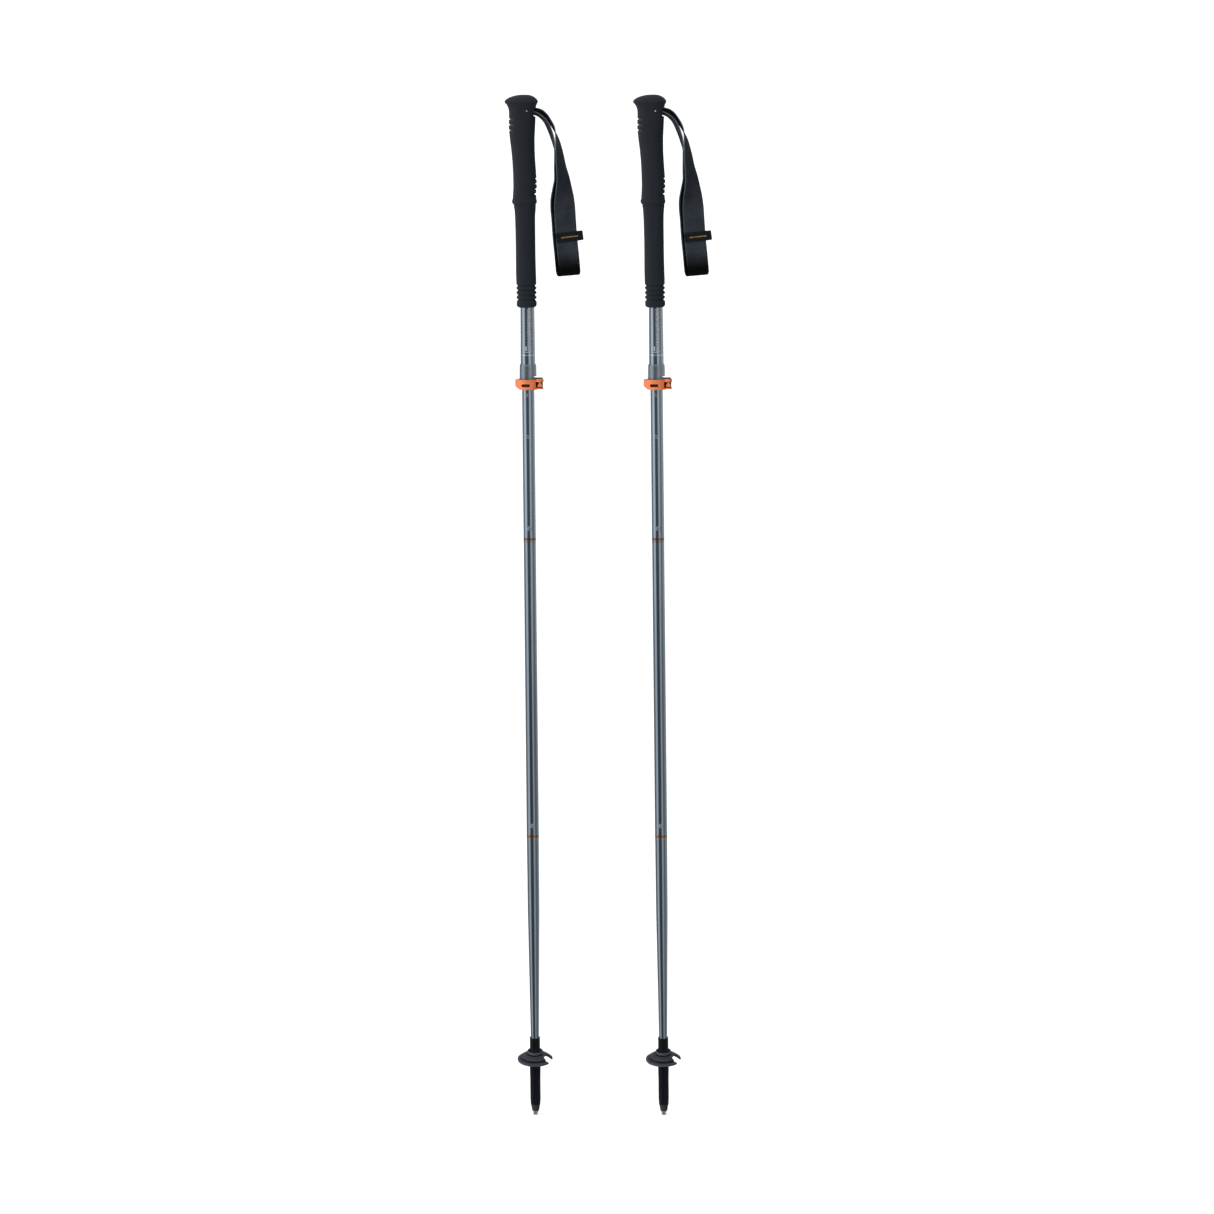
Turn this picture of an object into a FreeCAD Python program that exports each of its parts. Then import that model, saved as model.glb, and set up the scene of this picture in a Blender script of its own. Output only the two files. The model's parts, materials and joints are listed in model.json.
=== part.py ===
"""A pair of folding, telescoping trekking poles.

Frame: millimetres, +Z up the poles, origin at the left pole's tip, +X towards the right pole,
-Y is the side that the snap buttons and the locking lever face. Each pole is built about its own
axis and then set in its place, so every function here works with the tube axis at x = y = 0.
"""
import FreeCAD, Part
import math
import os

from FreeCAD import Vector

os.makedirs("parts", exist_ok=True)

# ---------------------------------------------------------------- driving dimensions
POLE_SPACING = 153.8      # between the two poles' axes, along X
PAIR_STAGGER = 14.9       # the right pole stands this far in front of the left one

# tubes, from the top down
UPPER_TOP = 1190.0        # upper tube's end inside the grip
UPPER_BOTTOM = 893.0
UPPER_BORE = 7.75
UPPER_RADIUS_TOP = 8.4
UPPER_RADIUS_BOTTOM = 8.8
ADJUST_TOP = 1035.0
ADJUST_RADIUS = 7.45
ADJUST_BORE = 6.6
SPLIT_1 = 695.8           # plane where the adjusting tube parts from the middle section
MIDDLE_RADIUS = 7.35
MIDDLE_BORE = 6.45
SPLIT_2 = 337.4           # plane where the middle tube parts from the tip section
TIP_TUBE_BORE = 6.4
TIP_TAPER_START = 245.0
TIP_TUBE_END = 68.0

# folding joints
FOLD_OFFSET_1 = 13.0      # pivot line from the tube axis, towards +Y
FOLD_OFFSET_2 = 14.6      # pivot line from the tube axis, towards -Y
NOSE_HEIGHT = 8.0
NOSE_CLEARANCE = 0.12
RING_HEIGHT = 2.4
COLLAR_HEIGHT = 3.0
SHANK_LENGTH = 30.0
FACE_GAP = 0.1            # between the tube's end and the ring below it
CORD_RADIUS = 1.5
CORD_HOLE = 1.75

# snap buttons
BUTTON_HEIGHT = 11.8      # button axis above the split plane
BUTTON_RADIUS = 2.7
BUTTON_CLEARANCE = 0.08
BUTTON_PROUD = 0.95
FLANGE_RADIUS = 3.2

# clamp and lever
SLEEVE_BOTTOM = 874.5
SLEEVE_TOP = 905.0
SLEEVE_RADIUS = 10.2
SLEEVE_BORE = 7.52
BAND_RADIUS = 11.8
SLIT = 1.6
EAR_BOTTOM = 875.0
EAR_TOP = 888.4
LEVER_BOTTOM = 875.2
LEVER_TOP = 887.2
LEVER_INNER = 12.3
LEVER_OUTER = 14.9
AXLE_X = 14.0
AXLE_Y = -9.0
AXLE_RADIUS = 2.2
SCREW_Z = 880.8
SCREW_RADIUS = 1.62

# grip and strap
GRIP_JOINT = 1096.0       # the extension foam ends and the hand grip begins
GRIP_BOTTOM = 973.6
PIN_X = 1.6
PIN_Z = 1210.6
PIN_RADIUS = 1.5
SLOT_HALF = 9.2           # strap slot, half its width
SLOT_BOTTOM = 1203.4
SLOT_TOP = 1213.8
STRAP_PIVOT_X = 17.0
STRAP_PIVOT_Z = 1208.6
WEB_THICKNESS = 1.7
WEB_WIDTH_TOP = 17.0
WEB_WIDTH = 25.0
KEEPER_HEIGHT = 12.4
KEEPER_EXCESS = 9.4       # keeper's width beyond the webbing's
KEEPER_SHIFT = 3.2        # keeper's middle, to the right of the webbing's

# tip
FERRULE_TOP = 93.4
FERRULE_BOTTOM = 4.9
LAND_RADIUS = 6.2         # straight land that a tip cap pushes onto
LAND_BOTTOM = 20.0
LAND_TOP = 44.0
SEAT_RADIUS = 6.45
BASKET_RADIUS = 21.0
BASKET_RIM = 67.4
BASKET_TOP = 77.8
BASKET_TILT = 18.0         # the disc is moulded at this tilt on its upright hub, low at the front
TILT_HEIGHT = 76.5         # height of the line that the tilt is about
HUB_BOTTOM = 62.0
HUB_SHOULDER = 75.4
NOTCH_HALF = 5.6
NOTCH_CENTRE = 17.3        # middle of the notch's round end, from the axis
NOTCH_TURN = 23.5          # degrees that the notch is turned from +X to the front
RELIEF_RADIUS = 5.0        # round cut that widens the notch toward the rear
RELIEF_X = 16.6
RELIEF_Y = -3.0
RIM_SLANT = 15.0           # the ferrule's mouth is cut at this slant, low at the front

Z_AXIS = Vector(0, 0, 1)
Y_AXIS = Vector(0, 1, 0)
X_AXIS = Vector(1, 0, 0)


# ---------------------------------------------------------------- helpers
def cylinder(radius, z0, z1, x=0.0, y=0.0):
    return Part.makeCylinder(radius, z1 - z0, Vector(x, y, z0), Z_AXIS)


def cross_cylinder(radius, y0, y1, x, z):
    """A cylinder along Y."""
    return Part.makeCylinder(radius, y1 - y0, Vector(x, y0, z), Y_AXIS)


def box(x0, x1, y0, y1, z0, z1):
    return Part.makeBox(x1 - x0, y1 - y0, z1 - z0, Vector(x0, y0, z0))


def tube(outer, bore, z0, z1):
    return cylinder(outer, z0, z1).cut(cylinder(bore, z0 - 1, z1 + 1))


def turned(edges):
    """A body of revolution about Z from a closed chain of edges in the XZ plane."""
    face = Part.Face(Part.Wire(edges))
    return face.revolve(Vector(0, 0, 0), Z_AXIS, 360)


def turned_points(points):
    """A body of revolution from the corners (radius, height) of its half section."""
    corners = [Vector(r, 0, z) for r, z in points]
    return turned(Part.makePolygon(corners + [corners[0]]).Edges)


def rounded_section(z, left, right, half, power=2.4, count=24):
    """A closed smooth outline between x = left and right, y = -half and half."""
    middle = (left + right) / 2
    reach = (right - left) / 2
    points = []
    for i in range(count):
        angle = 2 * math.pi * i / count
        c = math.cos(angle)
        s = math.sin(angle)
        x = middle + reach * math.copysign(abs(c) ** (2 / power), c)
        y = half * math.copysign(abs(s) ** (2 / power), s)
        points.append(Vector(x, y, z))
    curve = Part.BSplineCurve()
    curve.interpolate(Points=points, PeriodicFlag=True)
    return Part.Wire(curve.toShape())


def lofted(sections):
    return Part.makeLoft([rounded_section(*s) for s in sections], True, True)


# ---------------------------------------------------------------- grip
def grip_foam():
    """Hand grip: waisted body, a bump at its foot, an overhanging flange and a domed top."""
    sections = [
        (GRIP_JOINT, -15.0, 11.6, 13.0),
        (1100.5, -17.2, 12.8, 14.4),
        (1104.0, -16.4, 12.0, 13.9),
        (1110.0, -15.9, 11.3, 13.6),
        (1120.0, -15.4, 13.2, 14.0),
        (1133.0, -15.6, 12.5, 14.4),
        (1148.0, -16.2, 11.4, 14.6),
        (1163.0, -17.4, 10.8, 14.7),
        (1174.0, -18.7, 10.8, 14.8),
        (1192.0, -20.1, 11.7, 15.0),
        (1211.0, -20.0, 12.4, 15.4),
        (1216.5, -21.9, 13.3, 16.1),
        (1220.5, -24.8, 15.0, 16.9),
        (1224.2, -22.4, 13.2, 15.4),
        (1226.8, -16.0, 9.6, 12.0),
        (1228.4, -9.0, 5.0, 7.0),
        (1229.0, -4.0, 1.0, 2.5),
    ]
    solid = lofted(sections)
    solid = solid.cut(cylinder(UPPER_RADIUS_TOP + 0.8, GRIP_JOINT - 1, UPPER_TOP))
    solid = solid.cut(head_outline(UPPER_TOP - 0.01, 1218.0))
    solid = solid.cut(box(-8, 30, -SLOT_HALF, SLOT_HALF, SLOT_BOTTOM, SLOT_TOP))
    return solid.cut(cross_cylinder(2.2, -20, 20, PIN_X, PIN_Z))


def extension_foam():
    """Extension grip with four rib grooves above its end lip."""
    sections = [
        (GRIP_BOTTOM, -11.0, 9.2, 10.2),
        (975.4, -12.6, 11.0, 11.6),
        (979.6, -12.8, 11.3, 11.8),
    ]
    for i in range(4):
        groove = 982.6 + 5.6 * i
        sections.append((groove, -11.7, 9.6, 10.6))
        sections.append((groove + 1.4, -12.8, 10.8, 11.6))
        sections.append((groove + 4.2, -12.9, 10.9, 11.7))
    sections += [
        (1018.0, -13.3, 10.6, 11.8),
        (1042.0, -13.2, 10.4, 11.8),
        (1066.0, -13.4, 10.4, 11.9),
        (1082.0, -13.8, 10.5, 12.1),
        (1091.0, -14.3, 11.1, 12.5),
        (GRIP_JOINT, -15.0, 11.5, 12.9),
    ]
    return lofted(sections).cut(cylinder(UPPER_RADIUS_TOP + 0.1, GRIP_BOTTOM - 1, GRIP_JOINT + 1))


def head_outline(z0, z1):
    outline = rounded_section(z0, -11.5, 9.4, 12.2)
    return Part.Face(outline).extrude(Vector(0, 0, z1 - z0))


def grip_core():
    """Hard core: a sleeve on the tube and a head with the strap slot and the pin's bore."""
    sleeve = tube(UPPER_RADIUS_TOP + 0.8, UPPER_RADIUS_TOP + 0.1, GRIP_JOINT, UPPER_TOP)
    head = head_outline(UPPER_TOP, 1218.0)
    head = head.cut(box(-8, 30, -SLOT_HALF, SLOT_HALF, SLOT_BOTTOM, SLOT_TOP))
    core = sleeve.fuse(head)
    return core.cut(cross_cylinder(PIN_RADIUS, -20, 20, PIN_X, PIN_Z))


def strap_pin():
    return cross_cylinder(PIN_RADIUS, -13.2, 13.2, PIN_X, PIN_Z)


def strap_wedge():
    """Wedge that pinches the strap against the head, with its thin edge towards the pin."""
    corners = [
        Vector(-7.8, 0, SLOT_BOTTOM + 0.4),
        Vector(-2.2, 0, SLOT_BOTTOM + 2.4),
        Vector(-2.2, 0, SLOT_TOP - 2.6),
        Vector(-7.8, 0, SLOT_TOP - 0.4),
    ]
    face = Part.Face(Part.makePolygon(corners + [corners[0]]))
    half = SLOT_HALF - 0.4
    face.translate(Vector(0, -half, 0))
    return face.extrude(Vector(0, 2 * half, 0))


# ---------------------------------------------------------------- wrist strap
# The loop's middle line in the XZ plane with half the gap between the two layers.
STRAP_LINE = [
    (STRAP_PIVOT_X, STRAP_PIVOT_Z, 3.5),
    (21.5, 1204.6, 3.7),
    (26.5, 1197.8, 3.9),
    (31.0, 1188.0, 3.9),
    (35.4, 1174.5, 3.6),
    (39.0, 1158.0, 3.0),
    (41.8, 1140.0, 2.5),
    (43.1, 1127.0, 2.3),
    (44.1, 1114.0, 2.3),
    (45.2, 1099.0, 2.3),
    (46.6, 1079.0, 2.6),
    (48.0, 1057.0, 3.4),
    (49.4, 1035.0, 5.0),
    (50.4, 1017.6, 6.0),
]
KEEPER_LEVEL = 11         # the point of the line that the keeper is at
TWIST_TOP = 1203.0        # the loop turns a quarter turn between these heights
TWIST_BOTTOM = 1090.0
LAYER_SHIFT = 1.8         # the two layers lie this far off each other's middle, below the twist


def strap_frame(i):
    """Middle point, tangent, width direction and layer direction at a point of the loop's line."""
    before = STRAP_LINE[max(i - 1, 0)]
    after = STRAP_LINE[min(i + 1, len(STRAP_LINE) - 1)]
    tangent = Vector(after[0] - before[0], 0, after[1] - before[1]).normalize()
    outward = Vector(-tangent.z, 0, tangent.x)
    x, z, gap = STRAP_LINE[i]
    share = min(max((TWIST_TOP - z) / (TWIST_TOP - TWIST_BOTTOM), 0.0), 1.0)
    turned_share = math.sin(math.pi / 2 * share * share) ** 2
    turn = math.pi / 2 * turned_share
    width = Y_AXIS * math.cos(turn) + outward * math.sin(turn)
    normal = outward * math.cos(turn) - Y_AXIS * math.sin(turn)
    widening = min(i / 4, 1.0)
    size = WEB_WIDTH_TOP + (WEB_WIDTH - WEB_WIDTH_TOP) * widening
    return Vector(x, 0, z), tangent, width, normal, gap, LAYER_SHIFT * turned_share, size


def web_section(centre, width, normal, size, thickness=WEB_THICKNESS):
    across = width * (size / 2)
    through = normal * (thickness / 2)
    corners = [
        centre - across - through,
        centre + across - through,
        centre + across + through,
        centre - across + through,
    ]
    return Part.makePolygon(corners + [corners[0]])


def strap_fold(level, side):
    """Sections round the half turn at one end of the loop: side is 1 at its foot and -1 at its top."""
    centre, tangent, width, normal, gap, shift, size = strap_frame(level)
    sections = []
    for step in range(1, 6):
        turn = math.pi * step / 6
        facing = normal * (side * math.cos(turn)) + tangent * (side * math.sin(turn))
        place = centre + facing * gap + width * (side * shift * math.cos(turn))
        sections.append(web_section(place, width, facing, size))
    return sections


def strap_webbing():
    """One loop of webbing: down the outer layer, round the fold, up the inner layer and over."""
    last = len(STRAP_LINE) - 1
    outer_layer = []
    inner_layer = []
    for i in range(last + 1):
        centre, tangent, width, normal, gap, shift, size = strap_frame(i)
        offset = normal * gap + width * shift
        outer_layer.append(web_section(centre + offset, width, normal, size))
        inner_layer.append(web_section(centre - offset, width, normal * -1, size))
    inner_layer.reverse()
    sections = outer_layer + strap_fold(last, 1) + inner_layer + strap_fold(0, -1)
    return Part.makeLoft(sections, True, True, True)


def strap_keeper():
    """Flat sewn loop round the front layer of the strap, wider than the webbing on its right."""
    centre, tangent, width, normal, gap, shift, size = strap_frame(KEEPER_LEVEL)
    middle = centre + normal * gap + width * (shift + KEEPER_SHIFT)
    outer = web_section(middle, width, normal, size + KEEPER_EXCESS, WEB_THICKNESS + 3.0)
    inner = web_section(middle, width, normal, size + KEEPER_EXCESS - 2.4, WEB_THICKNESS + 1.4)
    down = tangent * KEEPER_HEIGHT
    band = Part.Face(outer).extrude(down).cut(Part.Face(inner).extrude(down))
    band.translate(tangent * (-KEEPER_HEIGHT / 2))
    band.rotate(middle, normal, -2.0)
    return band


# ---------------------------------------------------------------- upper tube and clamp
def upper_tube():
    return turned_points([
        (UPPER_BORE, UPPER_BOTTOM),
        (UPPER_RADIUS_BOTTOM, UPPER_BOTTOM),
        (UPPER_RADIUS_BOTTOM, SLEEVE_TOP),
        (UPPER_RADIUS_TOP, GRIP_BOTTOM),
        (UPPER_RADIUS_TOP, UPPER_TOP),
        (UPPER_BORE, UPPER_TOP),
    ])


def clamp_sleeve():
    """Sleeve on the tube's end, slit on its right so that the band can close it."""
    sleeve = turned_points([
        (SLEEVE_BORE, SLEEVE_BOTTOM),
        (SLEEVE_RADIUS, SLEEVE_BOTTOM),
        (SLEEVE_RADIUS, SLEEVE_TOP - 14),
        (SLEEVE_RADIUS - 0.2, SLEEVE_TOP - 1.6),
        (UPPER_RADIUS_BOTTOM + 0.5, SLEEVE_TOP),
        (UPPER_RADIUS_BOTTOM, SLEEVE_TOP),
        (UPPER_RADIUS_BOTTOM, UPPER_BOTTOM),
        (SLEEVE_BORE, UPPER_BOTTOM),
    ])
    slit = box(0, 20, -SLIT / 2, SLIT / 2, SLEEVE_BOTTOM - 1, 890.8)
    relief = box(3.0, 20, -20, 20, 888.6, 890.8)
    return sleeve.cut(slit).cut(relief)


def clamp_band():
    """Band round the sleeve with two ears that the tension screw draws together."""
    band = cylinder(BAND_RADIUS, EAR_BOTTOM, LEVER_TOP)
    front_ear = box(8.0, 17.6, -4.2, -SLIT / 2, EAR_BOTTOM, EAR_TOP)
    rear_ear = box(8.0, 17.6, SLIT / 2, 4.8, EAR_BOTTOM, EAR_TOP)
    band = band.fuse([front_ear, rear_ear])
    band = band.cut(cylinder(SLEEVE_RADIUS + 0.02, EAR_BOTTOM - 1, EAR_TOP + 1))
    band = band.cut(box(0, 20, -SLIT / 2, SLIT / 2, EAR_BOTTOM - 1, EAR_TOP + 1))
    return band.cut(cross_cylinder(SCREW_RADIUS + 0.07, -20, 20, AXLE_X, SCREW_Z))


def lever_axle():
    """Barrel that the lever turns on; the tension screw passes through it."""
    barrel = cylinder(AXLE_RADIUS, 876.0, 887.0, AXLE_X, AXLE_Y)
    return barrel.cut(cross_cylinder(SCREW_RADIUS + 0.07, -20, 0, AXLE_X, SCREW_Z))


def tension_screw():
    """Screw through the barrel and both ears, with a three-lobed head."""
    head_front = AXLE_Y - 4.4
    screw = cross_cylinder(SCREW_RADIUS, head_front + 1, 6.2, AXLE_X, SCREW_Z)
    screw = screw.fuse(cross_cylinder(2.2, head_front, head_front + 2.0, AXLE_X, SCREW_Z))
    for lobe in range(3):
        angle = math.radians(90 + 120 * lobe)
        x = AXLE_X + 1.6 * math.cos(angle)
        z = SCREW_Z + 1.6 * math.sin(angle)
        screw = screw.fuse(cross_cylinder(1.4, head_front, head_front + 2.0, x, z))
    return screw


def lock_lever():
    """Curved lever round the front of the clamp, with a window for the screw's head."""
    ring = tube(LEVER_OUTER, LEVER_INNER, LEVER_BOTTOM, LEVER_TOP)
    reach = 2 * LEVER_OUTER
    fan = [Vector(0, 0, 0)]
    for angle in (172, 205, 240, 275, 305, 328):
        turn = math.radians(angle)
        fan.append(Vector(reach * math.cos(turn), reach * math.sin(turn), 0))
    prism = Part.Face(Part.makePolygon(fan + [fan[0]])).extrude(Vector(0, 0, 40))
    prism.translate(Vector(0, 0, LEVER_BOTTOM - 10))
    lever = ring.common(prism)
    boss = cylinder(4.5, LEVER_BOTTOM + 1, LEVER_TOP + 0.4, AXLE_X, AXLE_Y)
    tab_angle = math.radians(175)
    tab_x = 14.1 * math.cos(tab_angle)
    tab_y = 14.1 * math.sin(tab_angle)
    tab = cylinder(1.5, LEVER_BOTTOM, LEVER_TOP - 0.8, tab_x, tab_y)
    lever = lever.fuse([boss, tab])
    lever = lever.cut(cylinder(5.7, 877.3, 884.4, AXLE_X, AXLE_Y))
    lever = lever.cut(cylinder(AXLE_RADIUS + 0.08, 870, 890, AXLE_X, AXLE_Y))
    slot = box(-6.2, 0.4, -20, -8, SCREW_Z - 2.3, SCREW_Z + 1.3)
    for x in (-6.2, 0.4):
        slot = slot.fuse(cross_cylinder(1.8, -20, -8, x, SCREW_Z - 0.5))
    corner = box(-30, 0, -30, 30, -10, 0)
    corner.rotate(Vector(0, 0, 0), Y_AXIS, 28)
    corner.translate(Vector(-9.5, 0, LEVER_BOTTOM))
    return lever.cut(slot).cut(corner)


# ---------------------------------------------------------------- folding sections
def button_hole(bore_side_radius, split):
    return cross_cylinder(BUTTON_RADIUS + BUTTON_CLEARANCE, -bore_side_radius - 3, 0, 0,
                          split + BUTTON_HEIGHT)


def adjust_tube():
    body = tube(ADJUST_RADIUS, ADJUST_BORE, SPLIT_1 + FACE_GAP, ADJUST_TOP)
    return body.cut(button_hole(ADJUST_RADIUS, SPLIT_1))


def guide_bush():
    """Plug in the adjusting tube's top that runs in the upper tube and holds the cord's end."""
    return turned_points([
        (CORD_HOLE, ADJUST_TOP - 18),
        (ADJUST_BORE, ADJUST_TOP - 18),
        (ADJUST_BORE, ADJUST_TOP),
        (UPPER_BORE - 0.07, ADJUST_TOP),
        (UPPER_BORE - 0.07, ADJUST_TOP + 6),
        (UPPER_BORE - 1.2, ADJUST_TOP + 7.5),
        (CORD_HOLE, ADJUST_TOP + 7.5),
    ])


def cord_upper():
    """Cord in the adjusting tube, with its stopper knot on top of the guide bush."""
    line = cylinder(CORD_RADIUS, SPLIT_1 + NOSE_HEIGHT + 0.6, ADJUST_TOP + 9)
    return line.fuse(cylinder(3.2, ADJUST_TOP + 7.5, ADJUST_TOP + 13))


def cord_middle():
    """Cord through the middle tube and the spigot at its top."""
    return cylinder(CORD_RADIUS, SPLIT_2 + NOSE_HEIGHT + 0.6, SPLIT_1 + NOSE_HEIGHT)


def middle_tube():
    top = SPLIT_1 - RING_HEIGHT - COLLAR_HEIGHT
    body = tube(MIDDLE_RADIUS, MIDDLE_BORE, SPLIT_2 + FACE_GAP, top)
    return body.cut(button_hole(MIDDLE_RADIUS, SPLIT_2))


def spigot(split, offset, socket_bore, shank_radius, collar_radius):
    """Joint nose of one folding joint. Its flank is an arc about the pivot line, so that it swings
    out of the socket without touching it."""
    arc_radius = offset + socket_bore - NOSE_CLEARANCE
    base = Vector(arc_radius - offset, 0, split)
    top_radius = math.sqrt(arc_radius ** 2 - NOSE_HEIGHT ** 2) - offset
    half_radius = math.sqrt(arc_radius ** 2 - NOSE_HEIGHT ** 2 / 4) - offset
    top = Vector(top_radius, 0, split + NOSE_HEIGHT)
    flank = Part.Arc(base, Vector(half_radius, 0, split + NOSE_HEIGHT / 2), top).toShape()
    seat = split - RING_HEIGHT
    foot = seat - COLLAR_HEIGHT
    chain = [
        top,
        Vector(CORD_HOLE + 1, 0, split + NOSE_HEIGHT),
        Vector(CORD_HOLE, 0, split + NOSE_HEIGHT - 2),
        Vector(CORD_HOLE, 0, foot - SHANK_LENGTH),
        Vector(shank_radius, 0, foot - SHANK_LENGTH),
        Vector(shank_radius, 0, foot),
        Vector(collar_radius, 0, foot),
        Vector(collar_radius, 0, seat),
        Vector(base.x, 0, seat),
        base,
    ]
    edges = [flank]
    for start, end in zip(chain, chain[1:]):
        edges.append(Part.makeLine(start, end))
    return turned(edges)


def orange_ring(split, inner, outer):
    return tube(outer, inner, split - RING_HEIGHT, split)


def snap_button(split, tube_radius):
    """Domed button with an inner flange, pressed along +Y."""
    z = split + BUTTON_HEIGHT
    front = -tube_radius - BUTTON_PROUD
    flange_y = -5.3
    stem = cross_cylinder(BUTTON_RADIUS, front, flange_y + 0.4, 0, z)
    ball = Part.makeSphere(4.6, Vector(0, front + 4.6, z))
    stem = stem.common(ball.fuse(cross_cylinder(BUTTON_RADIUS, front + 2.0, flange_y + 0.4, 0, z)))
    return stem.fuse(cross_cylinder(FLANGE_RADIUS, flange_y, flange_y + 0.8, 0, z))


def snap_spring(split, bore):
    """Leaf bent round the inside of the tube, with a flat front behind the button's flange."""
    z0 = split + BUTTON_HEIGHT - 3
    z1 = split + BUTTON_HEIGHT + 3
    outer = bore - 0.05
    ring = tube(outer, outer - 0.5, z0, z1)
    ring = ring.cut(box(-20, 20, -20, -4.4, z0 - 1, z1 + 1))
    reach = math.sqrt(outer ** 2 - 4.4 ** 2)
    return ring.fuse(box(-reach + 0.1, reach - 0.1, -4.4, -3.9, z0, z1))


# ---------------------------------------------------------------- tip section
def tip_tube():
    """Straight at the top, then tapered; its end sits in the ferrule."""
    top = SPLIT_2 - RING_HEIGHT - COLLAR_HEIGHT
    return turned_points([
        (TIP_TUBE_BORE, top),
        (7.25, top),
        (7.0, TIP_TAPER_START),
        (4.9, 95.0),
        (4.55, TIP_TUBE_END),
        (3.75, TIP_TUBE_END),
        (4.0, 95.0),
        (5.9, TIP_TAPER_START),
        (TIP_TUBE_BORE, TIP_TAPER_START + 45),
    ])


def ferrule():
    """Black tip holder: socket for the tube, seat for the basket and land for a tip cap."""
    holder = turned_points([
        (2.0, FERRULE_BOTTOM),
        (4.1, FERRULE_BOTTOM),
        (5.1, 10.8),
        (5.7, 12.7),
        (LAND_RADIUS, LAND_BOTTOM),
        (LAND_RADIUS, LAND_TOP),
        (SEAT_RADIUS, 54.0),
        (SEAT_RADIUS, 75.6),
        (7.1, 75.6),
        (7.1, 77.0),
        (6.1, 78.4),
        (6.1, FERRULE_TOP + 0.8),
        (5.7, FERRULE_TOP + 1.2),
        (4.9, FERRULE_TOP + 1.2),
        (4.55, TIP_TUBE_END),
        (2.0, TIP_TUBE_END),
    ])
    above = box(-20, 20, -20, 20, FERRULE_TOP, FERRULE_TOP + 20)
    above.rotate(Vector(0, 0, FERRULE_TOP), X_AXIS, RIM_SLANT)
    return holder.cut(above)


def carbide_tip():
    """Hard tip with a flat end, set in the ferrule by its shank."""
    return turned_points([
        (0, 0),
        (2.2, 0),
        (3.0, 4.2),
        (3.0, FERRULE_BOTTOM),
        (2.0, FERRULE_BOTTOM),
        (2.0, 18.0),
        (0, 18.0),
    ])


def basket():
    """Stepped cone with a collar, moulded at a tilt on an upright hub, and notched for a tube."""
    cone = turned_points([
        (0, 64.0),
        (8.7, 64.0),
        (9.0, 72.6),
        (BASKET_RADIUS - 1.8, BASKET_RIM - 2.2),
        (BASKET_RADIUS - 0.4, BASKET_RIM - 2.2),
        (BASKET_RADIUS, BASKET_RIM - 1.4),
        (BASKET_RADIUS, BASKET_RIM),
        (17.3, 68.7),
        (16.9, 70.6),
        (13.6, 72.2),
        (13.2, 73.0),
        (10.4, 73.9),
        (8.3, 73.9),
        (8.3, 74.9),
        (9.0, 75.1),
        (9.2, 75.6),
        (9.2, BASKET_TOP - 0.5),
        (8.8, BASKET_TOP),
        (8.1, BASKET_TOP),
        (7.9, HUB_SHOULDER),
        (0, HUB_SHOULDER),
    ])
    notch = cylinder(NOTCH_HALF, 40, 100, NOTCH_CENTRE, 0)
    notch = notch.fuse(box(NOTCH_CENTRE, 40, -NOTCH_HALF, NOTCH_HALF, 40, 100))
    notch.rotate(Vector(0, 0, 0), Z_AXIS, -NOTCH_TURN)
    relief = cylinder(RELIEF_RADIUS, 40, 100, RELIEF_X, RELIEF_Y)
    disc = cone.cut(notch).cut(relief)
    disc.rotate(Vector(0, 0, TILT_HEIGHT), X_AXIS, BASKET_TILT)
    below = box(-40, 40, -40, 40, 40, HUB_BOTTOM)
    hub_core = cylinder(8.7, 40, HUB_BOTTOM)
    disc = disc.cut(below.common(hub_core))
    sleeve = cylinder(8.7, HUB_BOTTOM, HUB_SHOULDER)
    whole = disc.fuse(sleeve)
    whole = whole.cut(cylinder(SEAT_RADIUS + 0.07, 40, HUB_SHOULDER))
    return whole.cut(cylinder(7.6, HUB_SHOULDER, 100)).removeSplitter()


# ---------------------------------------------------------------- assembly
def pole():
    """Every sub-part of one pole about its own axis."""
    spigot_1 = spigot(SPLIT_1, FOLD_OFFSET_1, ADJUST_BORE, MIDDLE_BORE, ADJUST_RADIUS - 0.03)
    spigot_2 = spigot(SPLIT_2, FOLD_OFFSET_2, MIDDLE_BORE, TIP_TUBE_BORE, MIDDLE_RADIUS - 0.05)
    return {
        "grip_foam": grip_foam(),
        "extension_foam": extension_foam(),
        "grip_core": grip_core(),
        "strap_pin": strap_pin(),
        "strap_wedge": strap_wedge(),
        "strap_webbing": strap_webbing(),
        "strap_keeper": strap_keeper(),
        "upper_tube": upper_tube(),
        "clamp_sleeve": clamp_sleeve(),
        "clamp_band": clamp_band(),
        "lever_axle": lever_axle(),
        "tension_screw": tension_screw(),
        "lock_lever": lock_lever(),
        "adjust_tube": adjust_tube(),
        "guide_bush": guide_bush(),
        "cord_upper": cord_upper(),
        "snap_button_1": snap_button(SPLIT_1, ADJUST_RADIUS),
        "snap_spring_1": snap_spring(SPLIT_1, ADJUST_BORE),
        "spigot_1": spigot_1,
        "ring_1": orange_ring(SPLIT_1, ADJUST_BORE - NOSE_CLEARANCE, ADJUST_RADIUS + 0.05),
        "middle_tube": middle_tube(),
        "cord_middle": cord_middle(),
        "snap_button_2": snap_button(SPLIT_2, MIDDLE_RADIUS),
        "snap_spring_2": snap_spring(SPLIT_2, MIDDLE_BORE),
        "spigot_2": spigot_2,
        "ring_2": orange_ring(SPLIT_2, MIDDLE_BORE - NOSE_CLEARANCE, MIDDLE_RADIUS + 0.05),
        "tip_tube": tip_tube(),
        "ferrule": ferrule(),
        "carbide_tip": carbide_tip(),
        "basket": basket(),
    }


for side, offset in (("left", Vector(0, 0, 0)), ("right", Vector(POLE_SPACING, -PAIR_STAGGER, 0))):
    for name, shape in pole().items():
        placed = shape.copy()
        placed.translate(offset)
        placed.exportStep(f"parts/{side}_{name}.step")
        print(side, name, len(placed.Solids), placed.isValid(), round(placed.Volume, 1))
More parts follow.
